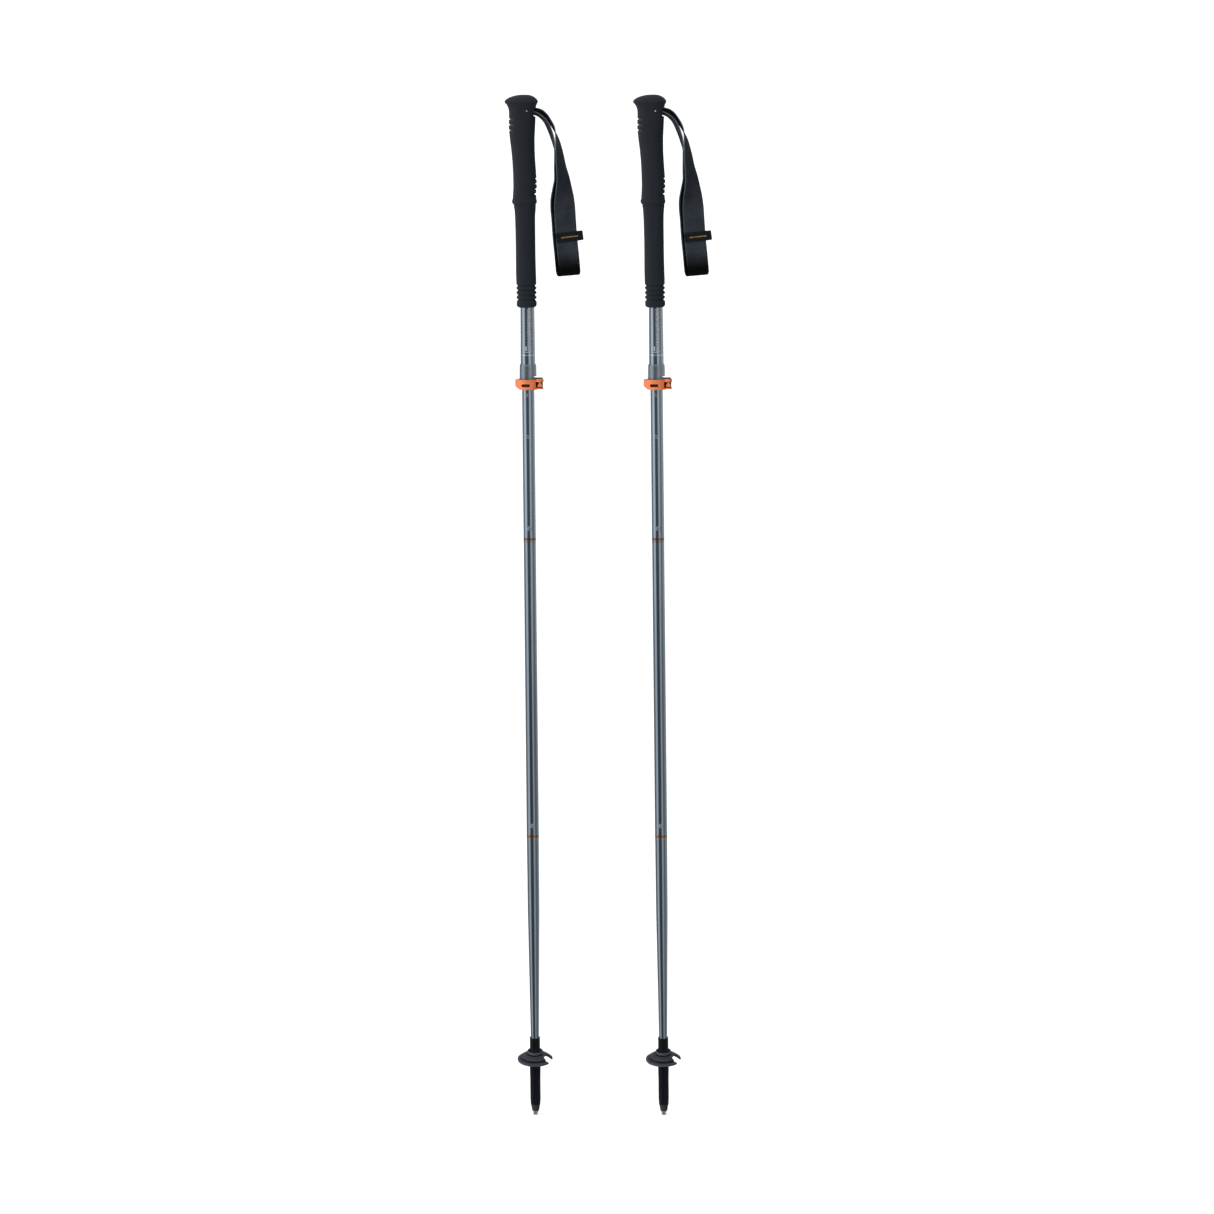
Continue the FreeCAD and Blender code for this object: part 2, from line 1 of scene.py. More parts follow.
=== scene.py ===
"""Looks of a pair of folding trekking poles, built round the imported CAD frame.

Every place is in metres in the CAD frame: origin at the left pole's tip, +Z up the poles, +X from
the left pole to the right one, -Y the side that the levers and the snap buttons face. Tables of
shapes are in mm about a pole's own axis.
"""
import json
from math import asin, atan2, copysign, cos, degrees, exp, hypot, pi, radians, sin

import bmesh
import bpy
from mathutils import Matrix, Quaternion, Vector


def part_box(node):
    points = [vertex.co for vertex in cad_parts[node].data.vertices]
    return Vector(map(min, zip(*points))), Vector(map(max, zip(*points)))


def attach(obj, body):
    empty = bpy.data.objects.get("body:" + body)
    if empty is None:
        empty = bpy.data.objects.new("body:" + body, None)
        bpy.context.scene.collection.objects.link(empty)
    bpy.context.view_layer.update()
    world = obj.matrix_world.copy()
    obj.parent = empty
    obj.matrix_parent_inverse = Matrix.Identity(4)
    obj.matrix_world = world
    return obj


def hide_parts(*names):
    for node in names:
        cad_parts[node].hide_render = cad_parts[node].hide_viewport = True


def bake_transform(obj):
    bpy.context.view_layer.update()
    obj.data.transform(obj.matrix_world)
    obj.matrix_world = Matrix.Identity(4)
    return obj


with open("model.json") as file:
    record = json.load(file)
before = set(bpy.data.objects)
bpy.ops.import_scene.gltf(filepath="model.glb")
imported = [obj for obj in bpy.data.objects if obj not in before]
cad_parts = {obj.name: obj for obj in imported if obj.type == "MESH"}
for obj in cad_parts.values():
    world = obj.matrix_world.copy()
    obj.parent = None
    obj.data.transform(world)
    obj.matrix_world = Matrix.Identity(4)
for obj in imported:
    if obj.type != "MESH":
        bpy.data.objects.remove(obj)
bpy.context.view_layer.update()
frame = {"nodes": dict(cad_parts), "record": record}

MM = 0.001
FULL_TURN = 2 * pi
SCENE = bpy.context.scene
NODES = frame["nodes"]

# ---------------------------------------- places, from the frame
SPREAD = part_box("right_carbide_tip")[0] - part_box("left_carbide_tip")[0]
AXIS = {"left": Vector((0, 0, 0)), "right": SPREAD}
PIN_LOW, PIN_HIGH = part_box("left_strap_pin")
PIN_X = (PIN_LOW.x + PIN_HIGH.x) / 2 / MM
PIN_Z = (PIN_LOW.z + PIN_HIGH.z) / 2 / MM
ADJUST_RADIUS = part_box("left_adjust_tube")[1].x / MM
SPLITS = [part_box(f"left_ring_{i}")[1].z / MM for i in (1, 2)]

# ---------------------------------------- view
CAMERA_ELEVATION = 6.0
CAMERA_DISTANCE = 50.0
POLE_LEAN = 0.58  # degrees that the poles lean to the left in the picture
VIEW_WIDTH = 1.4549  # width seen at the poles
VIEW_CENTRE = Vector((0.0917, 0, 0.6115))
SENSOR = 36.0


# ---------------------------------------- node helpers
class Nodes:
    """Short calls that add nodes to a tree and join them."""

    def __init__(self, tree):
        self.tree = tree

    def feed(self, socket, value):
        """Gives a socket a number, a vector, an opaque colour, or what another socket puts out."""
        if isinstance(value, bpy.types.NodeSocket):
            self.tree.links.new(value, socket)
        elif isinstance(value, tuple) and len(socket.default_value) == 4:
            socket.default_value = (*value, 1)
        else:
            socket.default_value = value

    def add(self, kind, inputs=(), **settings):
        node = self.tree.nodes.new(kind)
        for key, value in settings.items():
            setattr(node, key, value)
        for key, value in dict(inputs).items():
            self.feed(node.inputs[key], value)
        return node

    def maths(self, operation, *values):
        return self.add("ShaderNodeMath", enumerate(values), operation=operation).outputs[0]

    def span(self, value, low, high, new_low=0.0, new_high=1.0):
        """The value, with low..high turned into new_low..new_high and held there."""
        keys = ("Value", "From Min", "From Max", "To Min", "To Max")
        inputs = zip(keys, (value, low, high, new_low, new_high))
        return self.add("ShaderNodeMapRange", inputs).outputs["Result"]

    def split(self, place):
        """The place's X, Y and Z."""
        return self.add("ShaderNodeSeparateXYZ", {0: place}).outputs


class Shader(Nodes):
    """A Principled material and short calls for the nodes that make its detail."""

    def __init__(self, name, base, roughness, metallic=0.0):
        self.material = bpy.data.materials.new(name)
        self.material.use_nodes = True
        super().__init__(self.material.node_tree)
        self.bsdf = self.tree.nodes["Principled BSDF"]
        self.base = base
        self.set("Base Color", base)
        self.set("Roughness", roughness)
        self.set("Metallic", metallic)
        self.place = self.add("ShaderNodeTexCoord").outputs["Object"]

    def set(self, key, value):
        self.feed(self.bsdf.inputs[key], value)

    def stretched(self, scale):
        """The place with each axis multiplied, in 1/m."""
        return self.add("ShaderNodeMapping", {"Vector": self.place, "Scale": scale}).outputs[0]

    def noise(self, scale, detail=3.0):
        """Noise whose lumps have the sizes 1/scale along X, Y and Z."""
        place = self.stretched(scale if isinstance(scale, tuple) else (scale,) * 3)
        inputs = {"Vector": place, "Scale": 1.0, "Detail": detail, "Roughness": 0.55}
        return self.add("ShaderNodeTexNoise", inputs).outputs["Fac"]

    def cells(self, scale):
        inputs = {"Vector": self.stretched((scale,) * 3), "Scale": 1.0}
        return self.add("ShaderNodeTexVoronoi", inputs).outputs["Distance"]

    def attribute(self, name):
        return self.add("ShaderNodeAttribute", attribute_name=name).outputs["Fac"]

    def wave(self, distance, pitch):
        """A sine along a distance, both in metres."""
        return self.maths("SINE", self.maths("MULTIPLY", distance, FULL_TURN / pitch))

    def mix(self, share, first, second):
        """A colour between two colours, each a tuple or a socket."""
        inputs = {0: share, 6: first, 7: second}
        return self.add("ShaderNodeMix", inputs, data_type="RGBA").outputs[2]

    def tones(self, value, darker, paler, low=0.3, high=0.7):
        """The base colour times darker where the value is low, and times paler where it is high."""
        share = self.span(value, low, high)
        return self.mix(share, shade(self.base, darker), shade(self.base, paler))

    def colour(self, socket):
        self.set("Base Color", socket)

    def rough(self, value, smooth, coarse, low=0.3, high=0.7):
        """A roughness of smooth where the value is low, and of coarse where it is high."""
        self.set("Roughness", self.span(value, low, high, smooth, coarse))

    def bump(self, height, distance, strength):
        """Adds a bump of that height in metres on top of the bumps already there."""
        inputs = {"Height": height, "Distance": distance, "Strength": strength}
        normal = self.bsdf.inputs["Normal"]
        if normal.is_linked:
            inputs["Normal"] = normal.links[0].from_socket
        self.feed(normal, self.add("ShaderNodeBump", inputs).outputs["Normal"])

    def worn_edges(self):
        """1 on convex edges, broken up by noise, and 0 elsewhere."""
        pointiness = self.add("ShaderNodeNewGeometry").outputs["Pointiness"]
        edge = self.span(pointiness, 0.52, 0.55)
        return self.maths("MULTIPLY", edge, self.span(self.noise(900), 0.42, 0.62))

    def grain(self, smooth, coarse):
        """The fine grain of moulded plastic on shallow, wider lumps."""
        fine = self.noise(2200)
        self.rough(fine, smooth, coarse)
        self.bump(fine, 0.06 * MM, 0.6)
        self.bump(self.noise(300), 0.08 * MM, 0.3)


def shade(colour, factor):
    return tuple(min(c * factor, 1.0) for c in colour)


# ---------------------------------------- materials
RIB_PITCH = 2.2 * MM  # ribs of the webbing
WARP_PITCH = 1.1 * MM  # its threads along
TAPE_RIB_PITCH = 0.9 * MM
TWIST_PITCH = 0.55 * MM  # of the sewing thread
BRAID_PITCH = 2.2 * MM
BRAID_STRANDS = 6.0
NOSE_TOP = 0.0123  # the ferrule's bare nose ends at this height
SCUFFS_TOP = 0.045  # and its scuffs at this one
BASKET_TILT = 18.0  # degrees that the basket's disc leans to the front
TILT_HEIGHT = 76.5  # of the point that it leans about, in mm


def foam():
    s = Shader("foam", (0.0195, 0.0250, 0.0340), 0.88)
    blotches = s.noise((60, 60, 25), 4)
    cells = s.cells(1500)
    pores = s.maths("MULTIPLY", s.span(cells, 0.08, 0.42), 0.6)
    speckled = s.mix(pores, shade(s.base, 0.62), s.tones(blotches, 0.84, 1.18))
    worn = s.maths("MULTIPLY", s.worn_edges(), 0.35)
    aged = s.mix(worn, speckled, (0.055, 0.06, 0.066))
    # Painted highlight: the foam is made paler inside the upper finger notches, where light catches
    # them.
    s.colour(s.mix(s.span(s.attribute("groove"), 0.15, 0.8), aged, (0.062, 0.070, 0.082)))
    s.rough(blotches, 0.78, 0.93)
    s.bump(cells, 0.22 * MM, 0.7)
    s.bump(s.noise(260, 4), 0.30 * MM, 0.5)
    s.set("Sheen Weight", 0.04)
    s.set("Sheen Roughness", 0.6)
    s.set("Specular IOR Level", 0.2)
    return s.material


def webbing():
    """Ribbed webbing: ribs across, warp ends along, a plain selvedge at each edge with a painted
    highlight on it, and painted shade at the loop's foot and on its inner faces.
    """
    s = Shader("webbing", (0.0330, 0.0395, 0.0505), 0.8)
    weft = s.wave(s.attribute("along_m"), RIB_PITCH)
    weave = s.maths("MULTIPLY", s.wave(s.attribute("across_m"), WARP_PITCH), weft)
    fuzz = s.noise(700, 4)
    light = s.tones(weft, 0.72, 2.2, 0.0, 0.9)
    threads = s.mix(s.span(weave, 0.1, 1.0, 0.0, 0.6), light, shade(s.base, 2.0))
    aged = s.mix(s.span(s.noise(45), 0.35, 0.7), threads, shade(s.base, 0.8))
    # Painted highlight: the selvedges of the webbing are made several times paler.
    selvedge_highlighted = s.mix(s.span(s.attribute("edge"), 0.93, 0.99), aged, shade(s.base, 4.6))
    # Painted shade: the webbing is made near black at the loop's foot and on the loop's inner
    # faces.
    s.colour(s.mix(s.attribute("dark"), selvedge_highlighted, shade(s.base, 0.02)))
    s.rough(fuzz, 0.72, 0.9)
    s.bump(s.maths("ADD", weave, s.maths("MULTIPLY", fuzz, 0.8)), 0.12 * MM, 0.8)
    s.set("Sheen Weight", 0.02)
    s.set("Sheen Roughness", 0.45)
    s.set("Specular IOR Level", 0.08)
    return s.material


def keeper_tape():
    s = Shader("keeper_tape", (0.0022, 0.0075, 0.0082), 0.88)
    ribs = s.wave(s.attribute("along_m"), TAPE_RIB_PITCH)
    yarn = s.noise((1400, 1400, 500))
    tone = s.tones(ribs, 0.6, 1.7, -0.8, 0.9)
    s.colour(s.mix(s.span(yarn, 0.45, 0.75), tone, shade(s.base, 3.0)))
    s.rough(yarn, 0.75, 0.92)
    s.bump(s.maths("ADD", ribs, yarn), 0.10 * MM, 0.7)
    s.set("Sheen Weight", 0.05)
    s.set("Specular IOR Level", 0.15)
    return s.material


def thread():
    s = Shader("thread", (0.62, 0.26, 0.06), 0.6)
    twist = s.wave(s.attribute("along_m"), TWIST_PITCH)
    tone = s.tones(twist, 0.6, 1.25, -0.8, 0.8)
    s.colour(s.mix(s.span(s.noise(420), 0.5, 0.68), tone, (0.34, 0.07, 0.035)))
    s.rough(s.noise(900), 0.5, 0.75)
    s.bump(twist, 0.06 * MM, 0.8)
    s.set("Sheen Weight", 0.2)
    return s.material


def alloy(name, base, roughness, grain=(900, 900, 6), wear=0.25, painted_shade_below=False):
    """Anodised metal: drawn grain, faint clouding, and fine scratches.

    It can take a painted shade that makes it darker lower down, the more so towards the tip.
    """
    s = Shader(name, base, roughness, 1.0)
    drawn = s.noise(grain, 4)
    clouds = s.span(s.noise((50, 50, 12)), 0.3, 0.75)
    tone = s.mix(clouds, s.tones(drawn, 0.95, 1.05), shade(base, 0.88))
    if painted_shade_below:
        # Painted shade: the tube is made darker lower down, and more so near the tip.
        height = s.split(s.place)["Z"]
        upper_share = s.span(height, 0.5, 0.8, 0.33, 0.0)
        lower_share = s.span(height, 0.05, 0.25, 0.12, 0.0)
        tone = s.mix(s.maths("ADD", upper_share, lower_share), tone, (0.02, 0.024, 0.029))
    scratches = s.span(s.noise((1500, 1500, 40), 2), 0.70, 0.76)
    s.colour(s.mix(s.maths("MULTIPLY", scratches, wear), tone, shade(base, 1.7)))
    s.rough(drawn, roughness * 0.92, roughness * 1.1, 0.25, 0.75)
    s.bump(drawn, 0.004 * MM, 0.4)
    return s.material


def brushed_round(name, base, roughness):
    """Metal turned on a lathe, with fine rings round it."""
    return alloy(name, base, roughness, grain=(20, 20, 2600), wear=0.15)


def moulded(name, base, roughness, worn=1.6, mottle=0.12):
    """Moulded plastic: fine spark-eroded grain, faint flow mottling, paler handled edges."""
    s = Shader(name, base, roughness)
    tone = s.tones(s.noise((90, 90, 45), 4), 1 - mottle, 1 + mottle)
    s.colour(s.mix(s.maths("MULTIPLY", s.worn_edges(), 0.5), tone, shade(base, worn)))
    s.grain(roughness * 0.86, roughness * 1.18)
    return s.material


def basket_plastic(side):
    """Grained plastic, with painted shade (black) in the hollow under its collar and on its step,
    and painted highlights (paler) on the collar and the rim.
    """
    base = (0.0300, 0.0355, 0.0450)
    s = Shader(f"basket_{side}", base, 0.42)
    middle = AXIS[side] + Vector((0, 0, TILT_HEIGHT * MM))
    upright = s.add("ShaderNodeVectorMath", {0: s.place, 1: middle}, operation="SUBTRACT")
    tilted = {"Vector": upright.outputs[0], "Angle": -radians(BASKET_TILT)}
    level = s.add("ShaderNodeVectorRotate", tilted, rotation_type="X_AXIS")
    x, y, z = (s.maths("DIVIDE", length, MM) for length in s.split(level.outputs[0]))
    squares = s.maths("ADD", s.maths("MULTIPLY", x, x), s.maths("MULTIPLY", y, y))
    radius = s.maths("SQRT", squares)
    # Painted shade: masks of the hollow under the collar and of the step, which are made near
    # black.
    below = s.span(z, -1.5, -1.2, 1.0, 0.0)
    groove = s.maths("MULTIPLY", below, s.span(radius, 10.4, 11.0, 1.0, 0.0))
    outside, inside = s.span(radius, 16.5, 16.9), s.span(radius, 17.4, 18.2, 1.0, 0.0)
    step = s.maths("MULTIPLY", outside, inside)
    # Painted highlights: masks of the collar and the rim, which are made paler.
    collar = s.maths("MULTIPLY", s.span(z, -1.3, -1.0), s.span(radius, 8.7, 9.0))
    rim = s.maths("MULTIPLY", s.span(radius, 19.9, 20.6), 0.6)
    tone = s.tones(s.noise((90, 90, 45), 4), 0.85, 1.15)
    lit = s.mix(s.maths("MAXIMUM", collar, rim), tone, shade(base, 2.4))
    s.colour(s.mix(s.maths("MAXIMUM", groove, step), lit, shade(base, 0.06)))
    s.set("Specular IOR Level", 0.2)
    s.grain(0.36, 0.5)
    return s.material


def ferrule_plastic():
    """Moulded plastic with a bare grey nose, scuffed by the ground near it."""
    s = Shader("ferrule_black", (0.0016, 0.0030, 0.0062), 0.5)
    height = s.split(s.place)["Z"]
    nose = s.span(height, NOSE_TOP - 0.0006, NOSE_TOP, 1.0, 0.0)
    near_ground = s.span(height, NOSE_TOP, SCUFFS_TOP, 1.0, 0.0)
    scratches = s.span(s.noise((1100, 1100, 70), 4), 0.55, 0.66)
    scuffs = s.maths("MULTIPLY", scratches, s.maths("MULTIPLY", near_ground, 0.6))
    flow = s.noise(120, 4)
    scuffed = s.mix(scuffs, s.tones(flow, 0.85, 1.2), (0.03, 0.03, 0.03))
    s.colour(s.mix(nose, scuffed, (0.034, 0.038, 0.043)))
    s.set("Specular IOR Level", 0.12)
    s.rough(flow, 0.45, 0.575)
    s.bump(s.noise(2000), 0.06 * MM, 0.6)
    s.bump(scratches, 0.04 * MM, 0.4)
    return s.material


def braided_cord():
    s = Shader("cord", (0.035, 0.035, 0.04), 0.75)
    turn = s.maths("MULTIPLY", s.attribute("turn"), BRAID_STRANDS)
    along = s.maths("MULTIPLY", s.attribute("along_m"), FULL_TURN / BRAID_PITCH)
    left, right = (s.maths("SINE", s.maths(way, along, turn)) for way in ("ADD", "SUBTRACT"))
    braid = s.maths("MULTIPLY", left, right)
    s.colour(s.tones(braid, 0.5, 1.9, -0.7, 0.7))
    s.rough(s.noise(900), 0.65, 0.85)
    s.bump(braid, 0.15 * MM, 0.9)
    s.set("Sheen Weight", 0.2)
    return s.material


def plain_cord():
    """The cord's straight runs inside the tubes."""
    s = Shader("cord_inside", (0.035, 0.035, 0.04), 0.75)
    braid = s.noise((1400, 1400, 500), 2)
    s.colour(s.tones(braid, 0.6, 1.7, 0.35, 0.65))
    s.rough(braid, 0.65, 0.85)
    s.bump(braid, 0.15 * MM, 0.8)
    return s.material


def sintered():
    s = Shader("carbide", (0.30, 0.31, 0.33), 0.42, 0.85)
    grains = s.noise(1600, 4)
    s.colour(s.tones(s.noise(350), 0.7, 1.35, 0.4, 0.65))
    s.rough(grains, 0.32, 0.55)
    s.bump(grains, 0.12 * MM, 0.7)
    return s.material


def ink():
    """Pale printed marks, worn thin in places."""
    s = Shader("ink", (0.50, 0.515, 0.52), 0.55)
    thin = s.span(s.noise(650, 4), 0.38, 0.62)
    s.colour(s.mix(thin, (0.27, 0.29, 0.31), shade(s.base, 1.15)))
    s.rough(s.noise(1500), 0.45, 0.65)
    s.bump(thin, 0.01 * MM, 0.4)
    return s.material


TUBE_TONE = (0.275, 0.325, 0.370)
MATERIALS = {
    "foam": foam(),
    "nylon": moulded("nylon", (0.022, 0.022, 0.025), 0.5),
    "steel": brushed_round("steel", (0.62, 0.63, 0.65), 0.24),
    "upper_alloy": alloy("upper_alloy", TUBE_TONE, 0.13),
    "shaft_alloy": alloy("shaft_alloy", TUBE_TONE, 0.13, painted_shade_below=True),
    "sleeve_alloy": brushed_round("sleeve_alloy", (0.255, 0.290, 0.325), 0.40),
    "collar_alloy": brushed_round("collar_alloy", (0.21, 0.245, 0.278), 0.15),
    "clamp_black": moulded("clamp_black", (0.016, 0.016, 0.017), 0.45),
    "orange": moulded("orange", (0.97, 0.235, 0.080), 0.38, worn=1.25, mottle=0.07),
    "ring_orange": brushed_round("ring_orange", (0.26, 0.105, 0.028), 0.30),
    "cord": plain_cord(),
    "spring_steel": brushed_round("spring_steel", (0.165, 0.17, 0.175), 0.42),
    "ferrule_black": ferrule_plastic(),
    "carbide": sintered(),
}
WEBBING = webbing()
KEEPER_TAPE = keeper_tape()
THREAD = thread()
CORD = braided_cord()
INK = ink()
RING_METAL = brushed_round("ring_metal", (0.55, 0.57, 0.59), 0.3)
BUTTON_STEEL = brushed_round("button_steel", (0.30, 0.31, 0.32), 0.38)
OWN_FINISH = {
    "lever_axle": brushed_round("blackened_steel", (0.045, 0.046, 0.05), 0.4),
    "strap_pin": brushed_round("pin_steel", (0.85, 0.86, 0.88), 0.62),
    "snap_button_1": BUTTON_STEEL,
    "snap_button_2": BUTTON_STEEL,
}


def dress_cad_nodes():
    """Gives every CAD node the material of its slot, or its own finish.

    The nodes in the slots webbing and keeper are replaced, so they have none.
    """
    for part in frame["record"]["subparts"]:
        side, name = part["node"].split("_", 1)
        if name == "basket":
            material = basket_plastic(side)
        else:
            material = OWN_FINISH.get(name) or MATERIALS.get(part["material_slot"])
        if material is None:
            continue
        mesh = NODES[part["node"]].data
        mesh.materials.clear()
        mesh.materials.append(material)


# ---------------------------------------- mesh helpers
def at(side, place):
    """A place about a pole's own axis, in mm, as a point in the CAD frame."""
    return AXIS[side] + Vector(place) * MM


def new_piece(name, vertices, faces, material, smooth=True):
    mesh = bpy.data.meshes.new(name)
    mesh.from_pydata([tuple(v) for v in vertices], [], faces)
    mesh.validate()
    mesh.materials.append(material)
    if smooth:
        mesh.shade_smooth()
    piece = bpy.data.objects.new(name, mesh)
    SCENE.collection.objects.link(piece)
    return piece


def float_attributes(piece, **attributes):
    for name, values in attributes.items():
        attribute = piece.data.attributes.new(name, "FLOAT", "POINT")
        attribute.data.foreach_set("value", values)


def grid_faces(rows, columns, close_rows=False):
    """Quads between the points of a grid that is closed along its rows, and maybe across them."""
    faces = []
    for i in range(rows if close_rows else rows - 1):
        below = i * columns
        above = (i + 1) % rows * columns
        for j in range(columns):
            k = (j + 1) % columns
            faces.append((below + j, below + k, above + k, above + j))
    return faces


def rod_faces(rings, sides, base=0):
    """Faces of a rod with both ends closed, whose points start at the index base."""
    faces = [tuple(base + index for index in face) for face in grid_faces(rings, sides)]
    faces.append(tuple(base + k for k in range(sides - 1, -1, -1)))
    faces.append(tuple(base + (rings - 1) * sides + k for k in range(sides)))
    return faces


def round_points(radius, count, direction=1):
    """Points round a circle, the other way round for a direction of -1."""
    for k in range(count):
        turn = FULL_TURN * k / count * direction
        yield radius * cos(turn), radius * sin(turn)


def smoothstep(low, high, value):
    share = min(max((value - low) / (high - low), 0.0), 1.0)
    return share * share * (3 - 2 * share)


def curve_value(stations, place):
    """Smooth values between stations, each (place, value, value, ...), in rising order."""
    last = len(stations) - 1
    if place <= stations[0][0]:
        return list(stations[0][1:])
    if place >= stations[last][0]:
        return list(stations[last][1:])
    i = max(k for k in range(last) if stations[k][0] <= place)
    before, start, end, after = (stations[max(min(k, last), 0)] for k in (i - 1, i, i + 1, i + 2))
    length = end[0] - start[0]
    t = (place - start[0]) / length
    t2, t3 = t * t, t * t * t
    values = []
    for k in range(1, len(start)):
        slope_in = (end[k] - before[k]) / max(end[0] - before[0], 1e-9) * length
        slope_out = (after[k] - start[k]) / max(after[0] - start[0], 1e-9) * length
        if (end[k] - start[k]) * (start[k] - before[k]) <= 0:
            slope_in = 0.0
        if (after[k] - end[k]) * (end[k] - start[k]) <= 0:
            slope_out = 0.0
        values.append(
            start[k] * (2 * t3 - 3 * t2 + 1) + slope_in * (t3 - 2 * t2 + t)
            + end[k] * (3 * t2 - 2 * t3) + slope_out * (t3 - t2)
        )
    return values


def cut(piece, tool):
    """Takes the tool's volume out of the piece."""
    modifier = piece.modifiers.new("cut", "BOOLEAN")
    modifier.operation = "DIFFERENCE"
    modifier.solver = "EXACT"
    modifier.object = tool
    depsgraph = bpy.context.evaluated_depsgraph_get()
    mesh = bpy.data.meshes.new_from_object(piece.evaluated_get(depsgraph))
    piece.modifiers.clear()
    piece.data = mesh
    bpy.data.objects.remove(tool)


def rounded_prism(side, centre, size, radius, axis):
    """A block with rounded corners, in mm, long in the direction of axis 0, 1 or 2."""
    across = [k for k in range(3) if k != axis]
    points = []
    steps = 6
    for corner in range(4):
        sign_u = 1 if corner in (0, 3) else -1
        sign_v = 1 if corner in (0, 1) else -1
        for step in range(steps + 1):
            turn = pi / 2 * (corner + step / steps)
            u = sign_u * (size[across[0]] / 2 - radius) + radius * cos(turn)
            v = sign_v * (size[across[1]] / 2 - radius) + radius * sin(turn)
            points.append((u, v))
    vertices = []
    for end in (-1, 1):
        for u, v in points:
            place = list(centre)
            place[axis] += end * size[axis] / 2
            place[across[0]] += u
            place[across[1]] += v
            vertices.append(at(side, place))
    count = len(points)
    ends = [tuple(range(count)), tuple(range(2 * count - 1, count - 1, -1))]
    mesh = bpy.data.meshes.new("cutter")
    mesh.from_pydata(vertices, [], grid_faces(2, count) + ends)
    bm = bmesh.new()
    bm.from_mesh(mesh)
    bmesh.ops.recalc_face_normals(bm, faces=bm.faces)
    bm.to_mesh(mesh)
    bm.free()
    tool = bpy.data.objects.new("cutter", mesh)
    SCENE.collection.objects.link(tool)
    return tool


# ---------------------------------------- grips
# height, left edge, right edge, half depth of the hand grip
GRIP_STATIONS = [
    (1096.0, -14.4, 11.0, 12.6), (1098.0, -16.0, 11.9, 13.7),
    (1100.5, -17.2, 12.8, 14.4), (1104.0, -16.4, 12.2, 13.9),
    (1110.0, -15.9, 11.9, 13.6), (1120.0, -15.4, 12.9, 14.0),
    (1133.0, -15.6, 12.3, 14.4), (1148.0, -16.2, 11.4, 14.6),
    (1163.0, -17.4, 10.8, 14.7), (1174.0, -18.7, 10.8, 14.8),
    (1192.0, -20.1, 11.7, 15.0), (1204.0, -19.7, 12.2, 15.2),
    (1211.0, -20.0, 12.4, 15.4), (1216.5, -21.9, 13.3, 16.1),
    (1219.6, -24.4, 14.9, 16.9), (1220.9, -24.9, 15.1, 17.0),
    (1222.4, -24.2, 14.6, 16.6), (1224.9, -20.9, 12.4, 14.5),
    (1227.0, -15.6, 9.2, 11.6), (1228.4, -9.3, 5.2, 7.4),
    (1229.0, -3.0, 0.2, 1.4),
]
# height, middle direction in degrees from +X, half spread in degrees, depth and half height in mm
FINGER_NOTCHES = [
    (1199.9, 188, 48, 1.5, 0.95), (1193.0, 188, 50, 1.9, 0.95),
    (1186.5, 188, 42, 1.6, 0.95), (1128.0, 5, 40, 1.6, 1.0),
    (1121.8, 2, 40, 1.9, 1.0), (1115.6, 2, 42, 2.0, 1.0),
    (1109.4, 352, 58, 2.3, 1.05),
]
# painted highlights go into the finger notches above this height
NOTCH_HIGHLIGHT_ABOVE = 1150.0
# radius and distance from the grip's middle plane: the black shade ring's section, and the pin's
# cap
SHADE_RING_PROFILE = [
    (0.98, 12.8), (0.98, 14.1), (1.25, 14.45), (1.8, 14.45), (2.15, 14.1), (2.15, 12.8),
]
CAP_PROFILE = [(0.93, 13.9), (0.93, 14.35), (0.8, 14.55), (0.5, 14.7), (0.2, 14.75)]
PIN_END_SIDES = 48
EXTENSION_STATIONS = [
    (973.6, -10.4, 8.6, 9.6), (974.2, -11.6, 9.8, 10.6),
    (975.6, -12.6, 11.0, 11.6), (979.4, -12.8, 11.3, 11.8),
    (981.0, -12.4, 10.8, 11.4), (982.6, -11.2, 9.3, 10.2),
    (984.0, -12.0, 10.3, 11.1), (985.4, -13.1, 11.4, 12.0),
    (986.8, -12.3, 10.4, 11.2), (988.2, -11.2, 9.3, 10.2),
    (989.6, -12.0, 10.3, 11.1), (991.0, -13.1, 11.4, 12.0),
    (992.4, -12.3, 10.4, 11.2), (993.8, -11.2, 9.3, 10.2),
    (995.2, -12.0, 10.3, 11.1), (996.6, -13.1, 11.3, 12.0),
    (998.0, -12.3, 10.3, 11.2), (999.4, -11.4, 9.4, 10.3),
    (1001.2, -12.7, 10.8, 11.5), (1003.6, -13.0, 11.0, 11.8),
    (1018.0, -13.3, 10.7, 11.8), (1042.0, -13.2, 10.4, 11.8),
    (1066.0, -13.4, 10.4, 11.9), (1082.0, -13.8, 10.5, 12.1),
    (1091.0, -14.3, 11.1, 12.5), (1096.0, -15.0, 11.5, 12.9),
]
GRIP_BASE = 1096.0  # the hand grip stands on the extension grip here
GRIP_TOP = 1229.0
GRIP_BORE = 9.3
GRIP_STEP = 0.4
TOP_X = -1.4  # of the dome's highest point
EXTENSION_BASE = 973.6
EXTENSION_BORE = 8.55
RIBS_TOP = 1004.0
RIB_STEP, PLAIN_STEP = 0.35, 1.5
# centre, size and corner radius of what is cut out of the hand grip
STRAP_MOUTH = (14, 0, 1208.0), (20, 18.6, 11.7), 1.6
PIN_HOLE = (PIN_X, 0, PIN_Z), (4.4, 60, 4.4), 2.19
CORE_ROOM = (-1.05, 0, 1204), (21, 24.6, 28.2), 8
GRIP_SIDES = 144
ROUNDNESS = 2.4  # power of the section's outline: 2 is an ellipse


